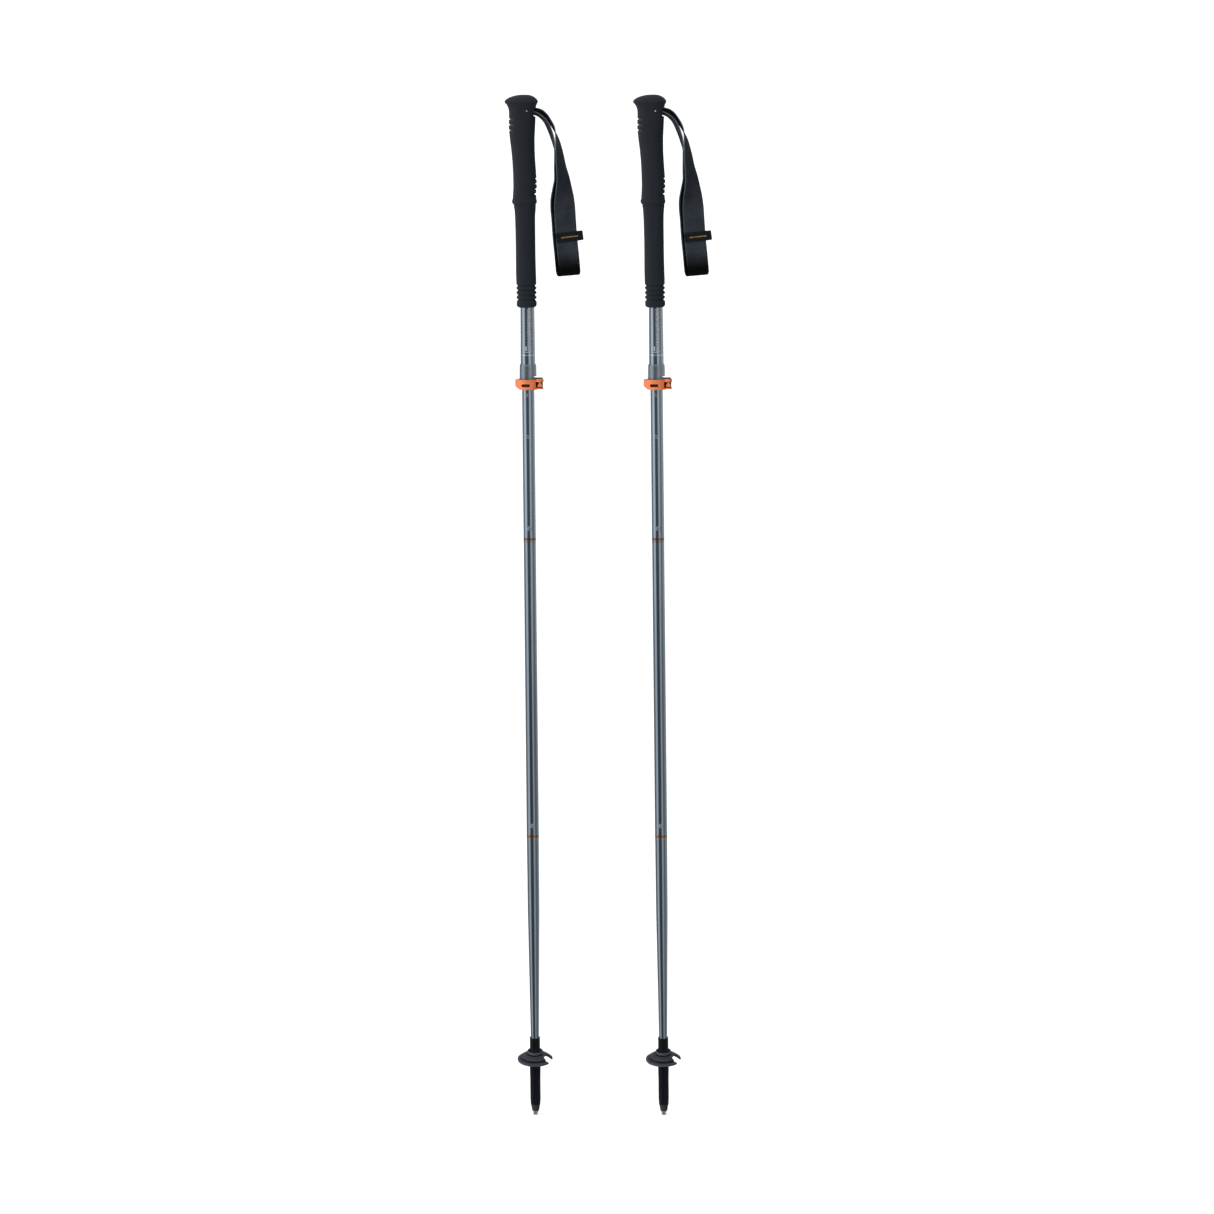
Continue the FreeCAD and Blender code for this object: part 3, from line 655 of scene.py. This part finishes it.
def section_ring(side, left, right, half, z, dent):
    """One ring of foam, with dent(direction in degrees) taken off its radius."""
    ring = []
    for c, s in round_points(1, GRIP_SIDES):
        x = (left + right) / 2 + (right - left) / 2 * copysign(abs(c) ** (2 / ROUNDNESS), c)
        y = half * copysign(abs(s) ** (2 / ROUNDNESS), s)
        depth = dent(degrees(atan2(y, x)) % 360)
        if depth:
            away = hypot(x, y)
            x -= x / away * depth
            y -= y / away * depth
        ring.append(at(side, (x, y, z)))
    return ring


def notch_depth(z, direction):
    """How deep the finger notches are at a height and a direction, in mm."""
    total = 0.0
    for height, middle, spread, depth, half_height in FINGER_NOTCHES:
        if abs(z - height) < 3 * half_height:
            turn = abs((direction - middle + 180) % 360 - 180)
            if turn < spread:
                fade = cos(pi / 2 * turn / spread) ** 0.5
                profile = exp(-((z - height) / half_height) ** 4)
                total += depth * fade * profile
    return total


def foam_body(side, stations, heights, bore_radius, bore_ends, dent):
    """A foam skin's vertices and faces, and the quads of its foot and bore by index round it.

    The first indices of the skin's top ring and of the bore's top ring come last.
    """
    vertices = []
    for z in heights:
        vertices += section_ring(side, *curve_value(stations, z), z, lambda d, z=z: dent(z, d))
    faces = grid_faces(len(heights), GRIP_SIDES)
    for z in bore_ends:
        vertices += [at(side, (x, y, z)) for x, y in round_points(bore_radius, GRIP_SIDES)]
    low = len(heights) * GRIP_SIDES
    high = low + GRIP_SIDES
    quads = []
    for j in range(GRIP_SIDES):
        k = (j + 1) % GRIP_SIDES
        quads.append([(k, j, low + j, low + k), (low + k, low + j, high + j, high + k)])
    return vertices, faces, quads, low - GRIP_SIDES, high


def hand_grip(side):
    """Hand grip of moulded foam, open below for the core, slotted for the strap, domed on top."""
    heights = []
    z = GRIP_BASE
    while z < GRIP_TOP - 0.1:
        heights.append(z)
        z += GRIP_STEP
    heights.append(GRIP_TOP - 0.05)
    vertices, faces, quads, last, bore_top = foam_body(
        side, GRIP_STATIONS, heights, GRIP_BORE, (GRIP_BASE, 1190.0), notch_depth)
    top = len(vertices)
    vertices.append(at(side, (TOP_X, 0, GRIP_TOP)))
    for j in range(GRIP_SIDES):
        faces += [(last + j, last + (j + 1) % GRIP_SIDES, top), *quads[j]]
    faces.append(tuple(bore_top + j for j in range(GRIP_SIDES)))
    grip = new_piece(f"{side}_hand_grip", vertices, faces, MATERIALS["foam"])
    # how deep the upper finger notches are: the mask of the painted highlight in them
    groove = [0.0] * len(vertices)
    for i, z in enumerate(heights):
        if z > NOTCH_HIGHLIGHT_ABOVE:
            for j in range(GRIP_SIDES):
                groove[i * GRIP_SIDES + j] = notch_depth(z, 360 * j / GRIP_SIDES)
    float_attributes(grip, groove=groove)
    cut(grip, rounded_prism(side, *STRAP_MOUTH, 0))
    cut(grip, rounded_prism(side, *PIN_HOLE, 1))
    cut(grip, rounded_prism(side, *CORE_ROOM, 2))
    grip.data.shade_smooth()
    grip.data.set_sharp_from_angle(angle=radians(50))
    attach(grip, f"{side}_upper")
    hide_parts(f"{side}_grip_foam")


def pin_hole_shade_rings(side):
    """Painted shade: a black ring round each end of the strap's pin, set where the pin's hole lies
    in shade, with a steel cap in it.
    """
    for face, name in ((-1, "front"), (1, "rear")):
        turned = [
            [at(side, (PIN_X + x, face * depth, PIN_Z + z))
             for radius, depth in profile for x, z in round_points(radius, PIN_END_SIDES, face)]
            for profile in (SHADE_RING_PROFILE, CAP_PROFILE)
        ]
        faces = grid_faces(len(SHADE_RING_PROFILE), PIN_END_SIDES, close_rows=True)
        # Painted shade: a black ring that stands for the shade in the pin's hole.
        ring = new_piece(f"{side}_hole_shade_ring_{name}", turned[0], faces, MATERIALS["nylon"])
        ring.data.set_sharp_from_angle(angle=radians(40))
        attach(ring, f"{side}_upper")
        faces = rod_faces(len(CAP_PROFILE), PIN_END_SIDES)
        steel = OWN_FINISH["strap_pin"]
        cap = new_piece(f"{side}_pin_cap_{name}", turned[1], faces, steel)
        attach(cap, f"{side}_upper")


def extension_grip(side):
    """Extension grip with ribs above its end lip."""
    heights = []
    z = EXTENSION_BASE
    while z < GRIP_BASE:
        heights.append(z)
        z += RIB_STEP if z < RIBS_TOP else PLAIN_STEP
    heights.append(GRIP_BASE)
    vertices, faces, quads, last, high = foam_body(
        side, EXTENSION_STATIONS, heights, EXTENSION_BORE, (EXTENSION_BASE, GRIP_BASE),
        lambda z, direction: 0.0)
    for j in range(GRIP_SIDES):
        k = (j + 1) % GRIP_SIDES
        faces += [*quads[j], (last + j, last + k, high + k, high + j)]
    grip = new_piece(f"{side}_extension_grip", vertices, faces, MATERIALS["foam"])
    grip.data.set_sharp_from_angle(angle=radians(60))
    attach(grip, f"{side}_upper")
    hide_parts(f"{side}_extension_foam")


# ---------------------------------------- wrist strap
# middle line of the loop from the pin down: x and z, how far the outer and the inner layer lie from
# it, and how far each layer has turned from lying flat to facing the front, in degrees
STRAP_LINE = [
    (1.6, 1210.6, 2.35, 2.35, 0, 0), (9.0, 1210.0, 1.3, 2.8, -17, -13),
    (13.5, 1209.1, 1.3, 3.3, -21, -17), (17.3, 1207.4, 1.8, 3.4, -21, -15),
    (21.2, 1204.0, 1.8, 2.9, -22, -16), (26.3, 1197.5, 1.9, 2.4, -17, -16),
    (31.0, 1188.0, 2.7, 2.6, -9, -14), (35.0, 1174.5, 2.6, 2.4, 8, -9),
    (37.4, 1158.0, 2.6, 2.4, 19, 3), (39.8, 1140.0, 2.4, 2.4, 27, 16),
    (41.9, 1127.0, 2.3, 2.3, 36, 28), (42.6, 1114.0, 2.3, 2.3, 50, 46),
    (43.2, 1099.0, 2.3, 2.3, 72, 70), (44.5, 1079.0, 2.6, 2.6, 90, 90),
    (45.8, 1057.0, 3.4, 3.4, 90, 90), (47.8, 1035.0, 5.0, 5.0, 90, 90),
    (49.2, 1017.6, 6.0, 6.0, 90, 90),
]
WEB_THICKNESS = 1.5
WEB_WIDTH_TOP = 17.4
WEB_WIDTH = 25.6
LAYER_SHIFT = 2.0  # each layer's middle, below the turn, from the line
KEEPER_HEIGHT = 1057.0
PAINTED_SHADE_LENGTH = 24.0  # of painted shade on the webbing above the fold at the loop's foot
WEB_COLUMNS = 14

STRAP_DISTANCES = [0.0]  # along the middle line at each of its points
for before, after in zip(STRAP_LINE, STRAP_LINE[1:]):
    step_length = hypot(after[0] - before[0], after[1] - before[1])
    STRAP_DISTANCES.append(STRAP_DISTANCES[-1] + step_length)
STRAP_STATIONS = [(d, *point) for d, point in zip(STRAP_DISTANCES, STRAP_LINE)]
STRAP_LENGTH = STRAP_DISTANCES[-1]


def strap_frame(distance, layer):
    """The line's place and tangent, and a layer's width, facing, offset, shift and size.

    The layer is 1 for the outer one and -1 for the inner one, and the lengths are in mm.
    """
    x, z, outer_gap, inner_gap, outer_turn, inner_turn = curve_value(STRAP_STATIONS, distance)
    x0, z0 = curve_value(STRAP_STATIONS, max(distance - 1.5, 0))[:2]
    x1, z1 = curve_value(STRAP_STATIONS, min(distance + 1.5, STRAP_LENGTH))[:2]
    tangent = Vector((x1 - x0, 0, z1 - z0)).normalized()
    outward = Vector((-tangent.z, 0, tangent.x))
    turn = radians(outer_turn if layer == 1 else inner_turn)
    sideways = Vector((0, 1, 0))
    width = sideways * cos(turn) + outward * sin(turn)
    normal = outward * cos(turn) - sideways * sin(turn)
    widening = smoothstep(STRAP_DISTANCES[3], STRAP_DISTANCES[8], distance)
    size = WEB_WIDTH_TOP + (WEB_WIDTH - WEB_WIDTH_TOP) * widening
    gap = outer_gap if layer == 1 else inner_gap
    shift = LAYER_SHIFT * max(sin(turn), 0.0)
    return Vector((x, 0, z)), tangent, width, normal, gap, shift, size


def strap_stations(step):
    """Centre, width and outward directions, width and distance, all the way round the loop."""
    stations = []
    count = int(STRAP_LENGTH / step)
    for layer, order in ((1, range(count + 1)), (-1, range(count, -1, -1))):
        for i in order:
            distance = STRAP_LENGTH * i / count
            centre, _, width, normal, gap, shift, size = strap_frame(distance, layer)
            place = centre + (normal * gap + width * shift) * layer
            stations.append((place, width, normal * layer, size, distance))
        stations += fold_stations(distance, layer, step)
    return stations


def fold_stations(distance, layer, step):
    """Stations of the half turn at the loop's foot (layer 1) or round the pin (layer -1)."""
    centre, tangent, width, normal, gap, shift, size = strap_frame(distance, layer)
    count = max(int(pi * gap / step), 6)
    stations = []
    for i in range(1, count):
        turn = pi * i / count
        facing = normal * (layer * cos(turn)) + tangent * (layer * sin(turn))
        place = centre + facing * gap + width * (layer * shift * cos(turn))
        stations.append((place, width, facing, size, distance))
    return stations


def web_outline(size, thickness):
    """Outline of the webbing's section as (across, through), with rounded selvedges."""
    corner = thickness / 2
    flat = size / 2 - corner
    outline = []
    for face in (1, -1):
        for j in range(WEB_COLUMNS + 1):
            outline.append((face * flat * (2 * j / WEB_COLUMNS - 1), face * corner))
        for j in (1, 2, 3):  # downwards at both selvedges, so the second one crosses itself
            turn = pi * j / 4
            outline.append((face * (flat + corner * sin(turn)), corner * cos(turn)))
    return outline


def wrist_strap(side):
    """One loop of ribbed webbing, from round the pin in the grip to the fold at its foot."""
    pitch = RIB_PITCH / MM
    stations = strap_stations(pitch / 6)
    travelled = 0.0
    vertices, along, across, edge, dark = [], [], [], [], []
    last_place = stations[0][0]
    for place, width, facing, size, distance in stations:
        travelled += (place - last_place).length
        last_place = place
        rib = 0.5 + 0.5 * cos(FULL_TURN * travelled / pitch)
        thickness = WEB_THICKNESS * (0.84 + 0.2 * rib)
        # Painted shade: the webbing darkens over the last stretch before the fold at the loop's
        # foot.
        foot = smoothstep(STRAP_LENGTH - PAINTED_SHADE_LENGTH, STRAP_LENGTH - 4, distance)
        for u, v in web_outline(size, thickness):
            vertices.append(at(side, place + width * u + facing * v))
            along.append(travelled * MM)
            across.append(u * MM)
            # how far across the webbing the point lies, which places the painted highlight on the
            # selvedges
            edge.append(abs(u) / (size / 2))
            # Painted shade: the inner faces of the loop are made near black.
            inside = 1.0 if v < 0 and abs(u) < size / 2 - 1 else 0.0
            dark.append(max(foot, inside))
    columns = len(vertices) // len(stations)
    faces = [face[::-1] for face in grid_faces(len(stations), columns, close_rows=True)]
    strap = new_piece(f"{side}_wrist_strap", vertices, faces, WEBBING)
    float_attributes(strap, along_m=along, across_m=across, edge=edge, dark=dark)
    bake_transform(strap)
    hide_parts(f"{side}_strap_webbing")


# the keeper: how far it reaches past the webbing, its place on it, and its section, in mm
KEEPER_TILT = radians(2.0)
KEEPER_OVERHANG = 6.4
KEEPER_SHIFT, KEEPER_RAISE = 3.6, 0.7
KEEPER_HALF_HEIGHT = 5.8
KEEPER_DEPTH = 1.55  # from the tape loop's middle to each of its long sides
KEEPER_BOW = 0.35
KEEPER_STEPS, KEEPER_ROWS = 28, 22
TAPE = 0.75  # the tape's thickness


def strap_keeper(side):
    """Flat sewn loop of tape round the front layer, with a line of orange stitches."""
    distance = next(station[0] for station in STRAP_STATIONS if station[2] == KEEPER_HEIGHT)
    centre, tangent, width, normal, gap, shift, size = strap_frame(distance, 1)
    run = (width * cos(KEEPER_TILT) - tangent * sin(KEEPER_TILT)).normalized()
    drop = (tangent * cos(KEEPER_TILT) + width * sin(KEEPER_TILT)).normalized()
    middle = centre + normal * gap + width * (shift + KEEPER_SHIFT) - tangent * KEEPER_RAISE
    half_run = (size + KEEPER_OVERHANG) / 2
    straight = half_run - KEEPER_DEPTH
    loop = []  # place and outward direction round the tape's loop
    for face in (1, -1):
        for j in range(KEEPER_STEPS + 1):
            u = face * straight * (2 * j / KEEPER_STEPS - 1)
            bow = KEEPER_BOW * cos(pi / 2 * u / straight)
            loop.append((u, -face * (KEEPER_DEPTH + bow), 0, -face))
        for j in range(1, 8):
            turn = pi * j / 8
            away, up = face * sin(turn), -face * cos(turn)
            loop.append((face * straight + KEEPER_DEPTH * away, KEEPER_DEPTH * up, away, up))
    vertices, along = [], []
    travelled = 0.0
    last = loop[0]
    for u, v, away, up in loop:
        travelled += hypot(u - last[0], v - last[1])
        last = (u, v)
        pull = 1 - 0.05 * (abs(u) / half_run) ** 4
        for face in (1, -1):
            for j in range(KEEPER_ROWS + 1):
                d = face * KEEPER_HALF_HEIGHT * (2 * j / KEEPER_ROWS - 1)
                t = face * TAPE / 2 * (1 - 0.35 * (abs(d) / KEEPER_HALF_HEIGHT) ** 8)
                point = middle + run * (u + away * t) - normal * (v + up * t) + drop * (d * pull)
                vertices.append(at(side, point))
                along.append(travelled * MM)
    faces = grid_faces(len(loop), 2 * (KEEPER_ROWS + 1), close_rows=True)
    keeper = new_piece(f"{side}_keeper_tape", vertices, faces, KEEPER_TAPE)
    float_attributes(keeper, along_m=along)
    keeper.data.set_sharp_from_angle(angle=radians(50))
    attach(keeper, f"{side}_strap")
    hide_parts(f"{side}_strap_keeper")
    stitch_line(side, middle + normal * (KEEPER_DEPTH + TAPE / 2 + 0.3), run, drop, normal)


STITCH_START, STITCH_END, STITCH_PITCH = -9.8, 11.0, 0.62
STITCH_REACH = 1.05  # half a stitch's length
STITCH_RADIUS = 0.30
STITCH_RINGS, STITCH_SIDES = 7, 8


def stitch_line(side, middle, run, drop, normal):
    """A satin line of orange stitches, each a short thread that dives into the tape at its ends."""
    vertices, faces, along = [], [], []
    last = STITCH_RINGS - 1
    for i in range(int((STITCH_END - STITCH_START) / STITCH_PITCH)):
        u = STITCH_START + STITCH_PITCH * i
        lean = 0.5 if i % 2 else -0.35
        drift = 0.35 * sin(i * 0.9) + 0.2 * sin(i * 2.3)
        rings = []
        for j in range(STITCH_RINGS):
            t = 2 * j / last - 1
            reach = t * STITCH_REACH
            lift = STITCH_RADIUS * 0.9 * (1 - t * t) - 0.25
            sunk = middle + run * (u + lean * reach) + drop * (reach * 0.62 + drift * 0.4)
            rings.append(sunk + normal * lift)
        faces += rod_faces(STITCH_RINGS, STITCH_SIDES, len(vertices))
        for j, centre in enumerate(rings):
            ahead = (rings[min(j + 1, last)] - rings[max(j - 1, 0)]).normalized()
            first = ahead.cross(normal).normalized()
            second = ahead.cross(first)
            for a, b in round_points(1, STITCH_SIDES):
                vertices.append(at(side, centre + (first * a + second * b) * STITCH_RADIUS))
                along.append((u + j * 0.2) * MM)
    stitches = new_piece(f"{side}_keeper_stitches", vertices, faces, THREAD)
    float_attributes(stitches, along_m=along)
    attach(stitches, f"{side}_strap")


# ---------------------------------------- marks on the tubes
INK_LIFT = 0.03
PATTERN_RADIUS = 8.72
PATTERN_FOOT, PATTERN_TOP = 921.5, 971.0
DASH_PITCH, DASH_HEIGHT, DASH_LEAN = 1.9, 1.0, 1.1
RING_RADIUS, RING_HEIGHT = 8.75, 916.2
# offset from that radius and height
RING_PROFILE = [(-0.15, -0.75), (0.10, -0.55), (0.16, 0.0), (0.10, 0.55), (-0.15, 0.75)]
RING_SIDES = 96
FIRST_TICK = 869.4
TICK_PITCH = 50.0
LENGTH_NUMBERS = ("125", "120")  # in cm, one under each tick
NUMBER_SIZE = 3.0
NUMBER_DROP = 3.2  # from the tick to the number's foot
NUMBER_TURN = -6  # degrees from the front


def on_tube(side, radius, points, faces, name, body):
    """A thin closed inked patch from flat shapes with points (degrees from -Y, height)."""
    vertices = []
    for lift in (radius - INK_LIFT, radius + INK_LIFT):
        for direction, z in points:
            turn = radians(direction)
            vertices.append(at(side, (lift * sin(turn), -lift * cos(turn), z)))
    count = len(points)
    solid = [face[::-1] for face in faces]
    solid += [tuple(index + count for index in face) for face in faces]
    edges = dict.fromkeys((a, b) for face in faces for a, b in zip(face, face[1:] + face[:1]))
    solid += [(a, b, b + count, a + count) for a, b in edges if (b, a) not in edges]
    piece = new_piece(f"{side}_{name}", vertices, solid, INK, smooth=False)
    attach(piece, body)


def strip(points, faces, low_turn, high_turn, low_z, high_z, slant=0.0):
    """Adds a small curved rectangle, split along its arc, leaning by slant mm of height."""
    steps = max(int(abs(high_turn - low_turn) / 6), 1)
    base = len(points)
    for j in range(steps + 1):
        share = j / steps
        turn = low_turn + (high_turn - low_turn) * share
        points.append((turn, low_z + slant * share))
        points.append((turn, high_z + slant * share))
    for j in range(steps):
        a = base + 2 * j
        faces.append((a, a + 2, a + 3, a + 1))


def printed_pattern(side):
    """A column of slanted dashes on the upper tube: a plain ornament with no lettering."""
    points, faces = [], []
    z = PATTERN_FOOT
    lean = -DASH_LEAN
    while z < PATTERN_TOP:
        strip(points, faces, -3, 42, z, z + DASH_HEIGHT, lean)
        z += DASH_PITCH
        lean = -lean
    strip(points, faces, -20, -9, PATTERN_FOOT, PATTERN_FOOT + 5.5)
    strip(points, faces, -20, 6, PATTERN_FOOT - 2.1, PATTERN_FOOT - 1.1)
    on_tube(side, PATTERN_RADIUS, points, faces, "printed_pattern", f"{side}_upper")


def stop_ring(side):
    """The fine bright ring turned into the upper tube above the clamp."""
    vertices = [
        at(side, (x, y, RING_HEIGHT + height)) for offset, height in RING_PROFILE
        for x, y in round_points(RING_RADIUS + offset, RING_SIDES)
    ]
    faces = grid_faces(len(RING_PROFILE), RING_SIDES, close_rows=True)
    ring = new_piece(f"{side}_stop_ring", vertices, faces, RING_METAL)
    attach(ring, f"{side}_upper")


def length_marks(side):
    """Length scale on the adjusting tube: a tick and a number every 50 mm."""
    points, faces = [], []
    ticks = [FIRST_TICK - TICK_PITCH * i for i in range(len(LENGTH_NUMBERS))]
    for z in ticks:
        strip(points, faces, -24, 2, z, z + 0.5)
    on_tube(side, ADJUST_RADIUS, points, faces, "length_ticks", f"{side}_adjust")
    for text, z in zip(LENGTH_NUMBERS, ticks):
        number(side, text, z - NUMBER_DROP)


def number(side, text, z):
    """A number bent round the tube, from Blender's own font."""
    curve = bpy.data.curves.new("number", "FONT")
    curve.body = text
    curve.size = NUMBER_SIZE
    curve.align_x = "CENTER"
    source = bpy.data.objects.new("number", curve)
    SCENE.collection.objects.link(source)
    bpy.context.view_layer.update()
    depsgraph = bpy.context.evaluated_depsgraph_get()
    flat = bpy.data.meshes.new_from_object(source.evaluated_get(depsgraph))
    points = [
        (degrees(v.co.x / ADJUST_RADIUS) + NUMBER_TURN, z + v.co.y) for v in flat.vertices
    ]
    faces = [tuple(face.vertices) for face in flat.polygons]
    bpy.data.objects.remove(source)
    on_tube(side, ADJUST_RADIUS, points, faces, f"number_{text}", f"{side}_adjust")


# ---------------------------------------- cord at the folding joints
CORD_RADIUS = 1.35
CORD_LOW, CORD_HIGH = 8.2, 9.5  # above the joint's ring when the pole is straight
CORD_RINGS, CORD_SIDES = 61, 20
CORD_ARC = 15.0 * pi  # its length round the folded joint


def fold_cord(side, index):
    """The stretch of cord that crosses a folding joint.

    Its rings are spaced closer together in the middle than at its ends.
    """
    low, high = SPLITS[index] + CORD_LOW, SPLITS[index] + CORD_HIGH
    vertices, along, turns = [], [], []
    for i in range(CORD_RINGS):
        share = i / (CORD_RINGS - 1)
        t = 0.5 - sin(asin(1 - 2 * (1 - share)) / 3)
        for k, (x, y) in enumerate(round_points(CORD_RADIUS, CORD_SIDES)):
            vertices.append(at(side, (x, y, high + (low - high) * t)))
            along.append(share * CORD_ARC * MM)
            turns.append(FULL_TURN * k / CORD_SIDES)
    faces = rod_faces(CORD_RINGS, CORD_SIDES)
    cord = new_piece(f"{side}_fold_cord_{index + 1}", vertices, faces, CORD)
    float_attributes(cord, along_m=along, turn=turns)
    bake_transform(cord)


# ---------------------------------------- floor, light, camera
FLOOR_REACH = 40.0
FLOOR_GLOW = 0.5
# direction from the camera's side (0 is towards it, positive to the right) and brightness there
STUDIO = [
    (-180, 0.48), (-98, 0.48),
    (-88, 1.45), (-58, 1.45),
    (-40, 0.17), (8, 0.17),
    (15, 1.05), (42, 1.05),
    (52, 0.42), (76, 0.42),
    (88, 0.80), (180, 0.80),
]
SOFT_FROM = (-1.0, -0.40, 0.22)  # the side that the soft light comes from
SOFT_LEVEL = 0.62
SOFT_CONTRAST = 0.92
SOFT_LEAST = 0.02


def floor():
    s = Shader("floor", (0.90, 0.90, 0.90), 0.9)
    s.colour(s.mix(s.span(s.noise(1.5, 4), 0.3, 0.7), (0.89, 0.89, 0.89), (0.92, 0.92, 0.92)))
    s.set("Emission Color", (1, 1, 1))
    s.set("Emission Strength", FLOOR_GLOW)
    mesh = bpy.data.meshes.new("floor")
    corners = [(-1, -1), (1, -1), (1, 1), (-1, 1)]
    places = [(x * FLOOR_REACH, y * FLOOR_REACH, 0) for x, y in corners]
    mesh.from_pydata(places, [], [(0, 1, 2, 3)])
    mesh.materials.append(s.material)
    plane = bpy.data.objects.new("floor", mesh)
    SCENE.collection.objects.link(plane)
    plane.visible_glossy = False
    plane.visible_diffuse = False


def studio():
    """World light with soft vertical panels round the poles, and plain white seen directly."""
    world = bpy.data.worlds.new("studio")
    SCENE.world = world
    world.use_nodes = True
    world.node_tree.nodes.clear()
    n = Nodes(world.node_tree)

    def background(colour, strength):
        return n.add("ShaderNodeBackground", {"Color": colour, "Strength": strength}).outputs[0]

    def choice(ray, otherwise, light):
        inputs = {0: path.outputs[ray], 1: otherwise, 2: light}
        return n.add("ShaderNodeMixShader", inputs).outputs[0]

    path = n.add("ShaderNodeLightPath")
    place = n.add("ShaderNodeTexCoord").outputs["Generated"]
    x, y, _ = n.split(place)
    angle = n.maths("ARCTAN2", x, n.maths("MULTIPLY", y, -1))
    ramp = n.add("ShaderNodeValToRGB", {0: n.span(angle, -pi, pi)})
    elements = ramp.color_ramp.elements
    brightest = max(level for _, level in STUDIO)
    for index, (direction, level) in enumerate(STUDIO):
        position = (direction + 180) / 360
        element = elements[index] if index < 2 else elements.new(position)
        element.position = position
        grey = level / brightest
        element.color = (grey * 0.97, grey, grey * 1.03, 1)
    facing = n.add("ShaderNodeVectorMath", {0: place, 1: SOFT_FROM}, operation="DOT_PRODUCT")
    level = n.maths("MULTIPLY_ADD", facing.outputs["Value"], SOFT_CONTRAST, SOFT_LEVEL)
    soft = background((0.8, 0.8, 0.8), n.maths("MAXIMUM", level, SOFT_LEAST))
    panels = background(ramp.outputs["Color"], brightest)
    lit = choice("Is Glossy Ray", soft, panels)
    seen = choice("Is Camera Ray", lit, background((1, 1, 1), 1.0))
    n.add("ShaderNodeOutputWorld", {"Surface": seen})
    world.cycles.sampling_method = "NONE"


def lights():
    sun = bpy.data.lights.new("overhead", "SUN")
    sun.energy = 0.6
    sun.angle = radians(50)
    overhead = bpy.data.objects.new("overhead", sun)
    overhead.rotation_euler = (radians(16), radians(-10), 0)
    SCENE.collection.objects.link(overhead)


def camera():
    data = bpy.data.cameras.new("camera")
    data.sensor_width = SENSOR
    data.lens = SENSOR * CAMERA_DISTANCE / VIEW_WIDTH
    data.clip_end = 200
    seen = bpy.data.objects.new("camera", data)
    SCENE.collection.objects.link(seen)
    elevation = radians(CAMERA_ELEVATION)
    back = Vector((0, -cos(elevation), sin(elevation)))
    seen.location = VIEW_CENTRE + back * CAMERA_DISTANCE
    seen.rotation_mode = "QUATERNION"
    roll = Quaternion((0, 0, 1), -radians(POLE_LEAN))
    seen.rotation_quaternion = (-back).to_track_quat("-Z", "Y") @ roll
    SCENE.camera = seen


# ---------------------------------------- build
camera()
SCENE.view_settings.view_transform = "Standard"
dress_cad_nodes()
for pole_side in ("left", "right"):
    hand_grip(pole_side)
    pin_hole_shade_rings(pole_side)
    extension_grip(pole_side)
    wrist_strap(pole_side)
    strap_keeper(pole_side)
    printed_pattern(pole_side)
    stop_ring(pole_side)
    length_marks(pole_side)
    fold_cord(pole_side, 0)
    fold_cord(pole_side, 1)
floor()
studio()
lights()
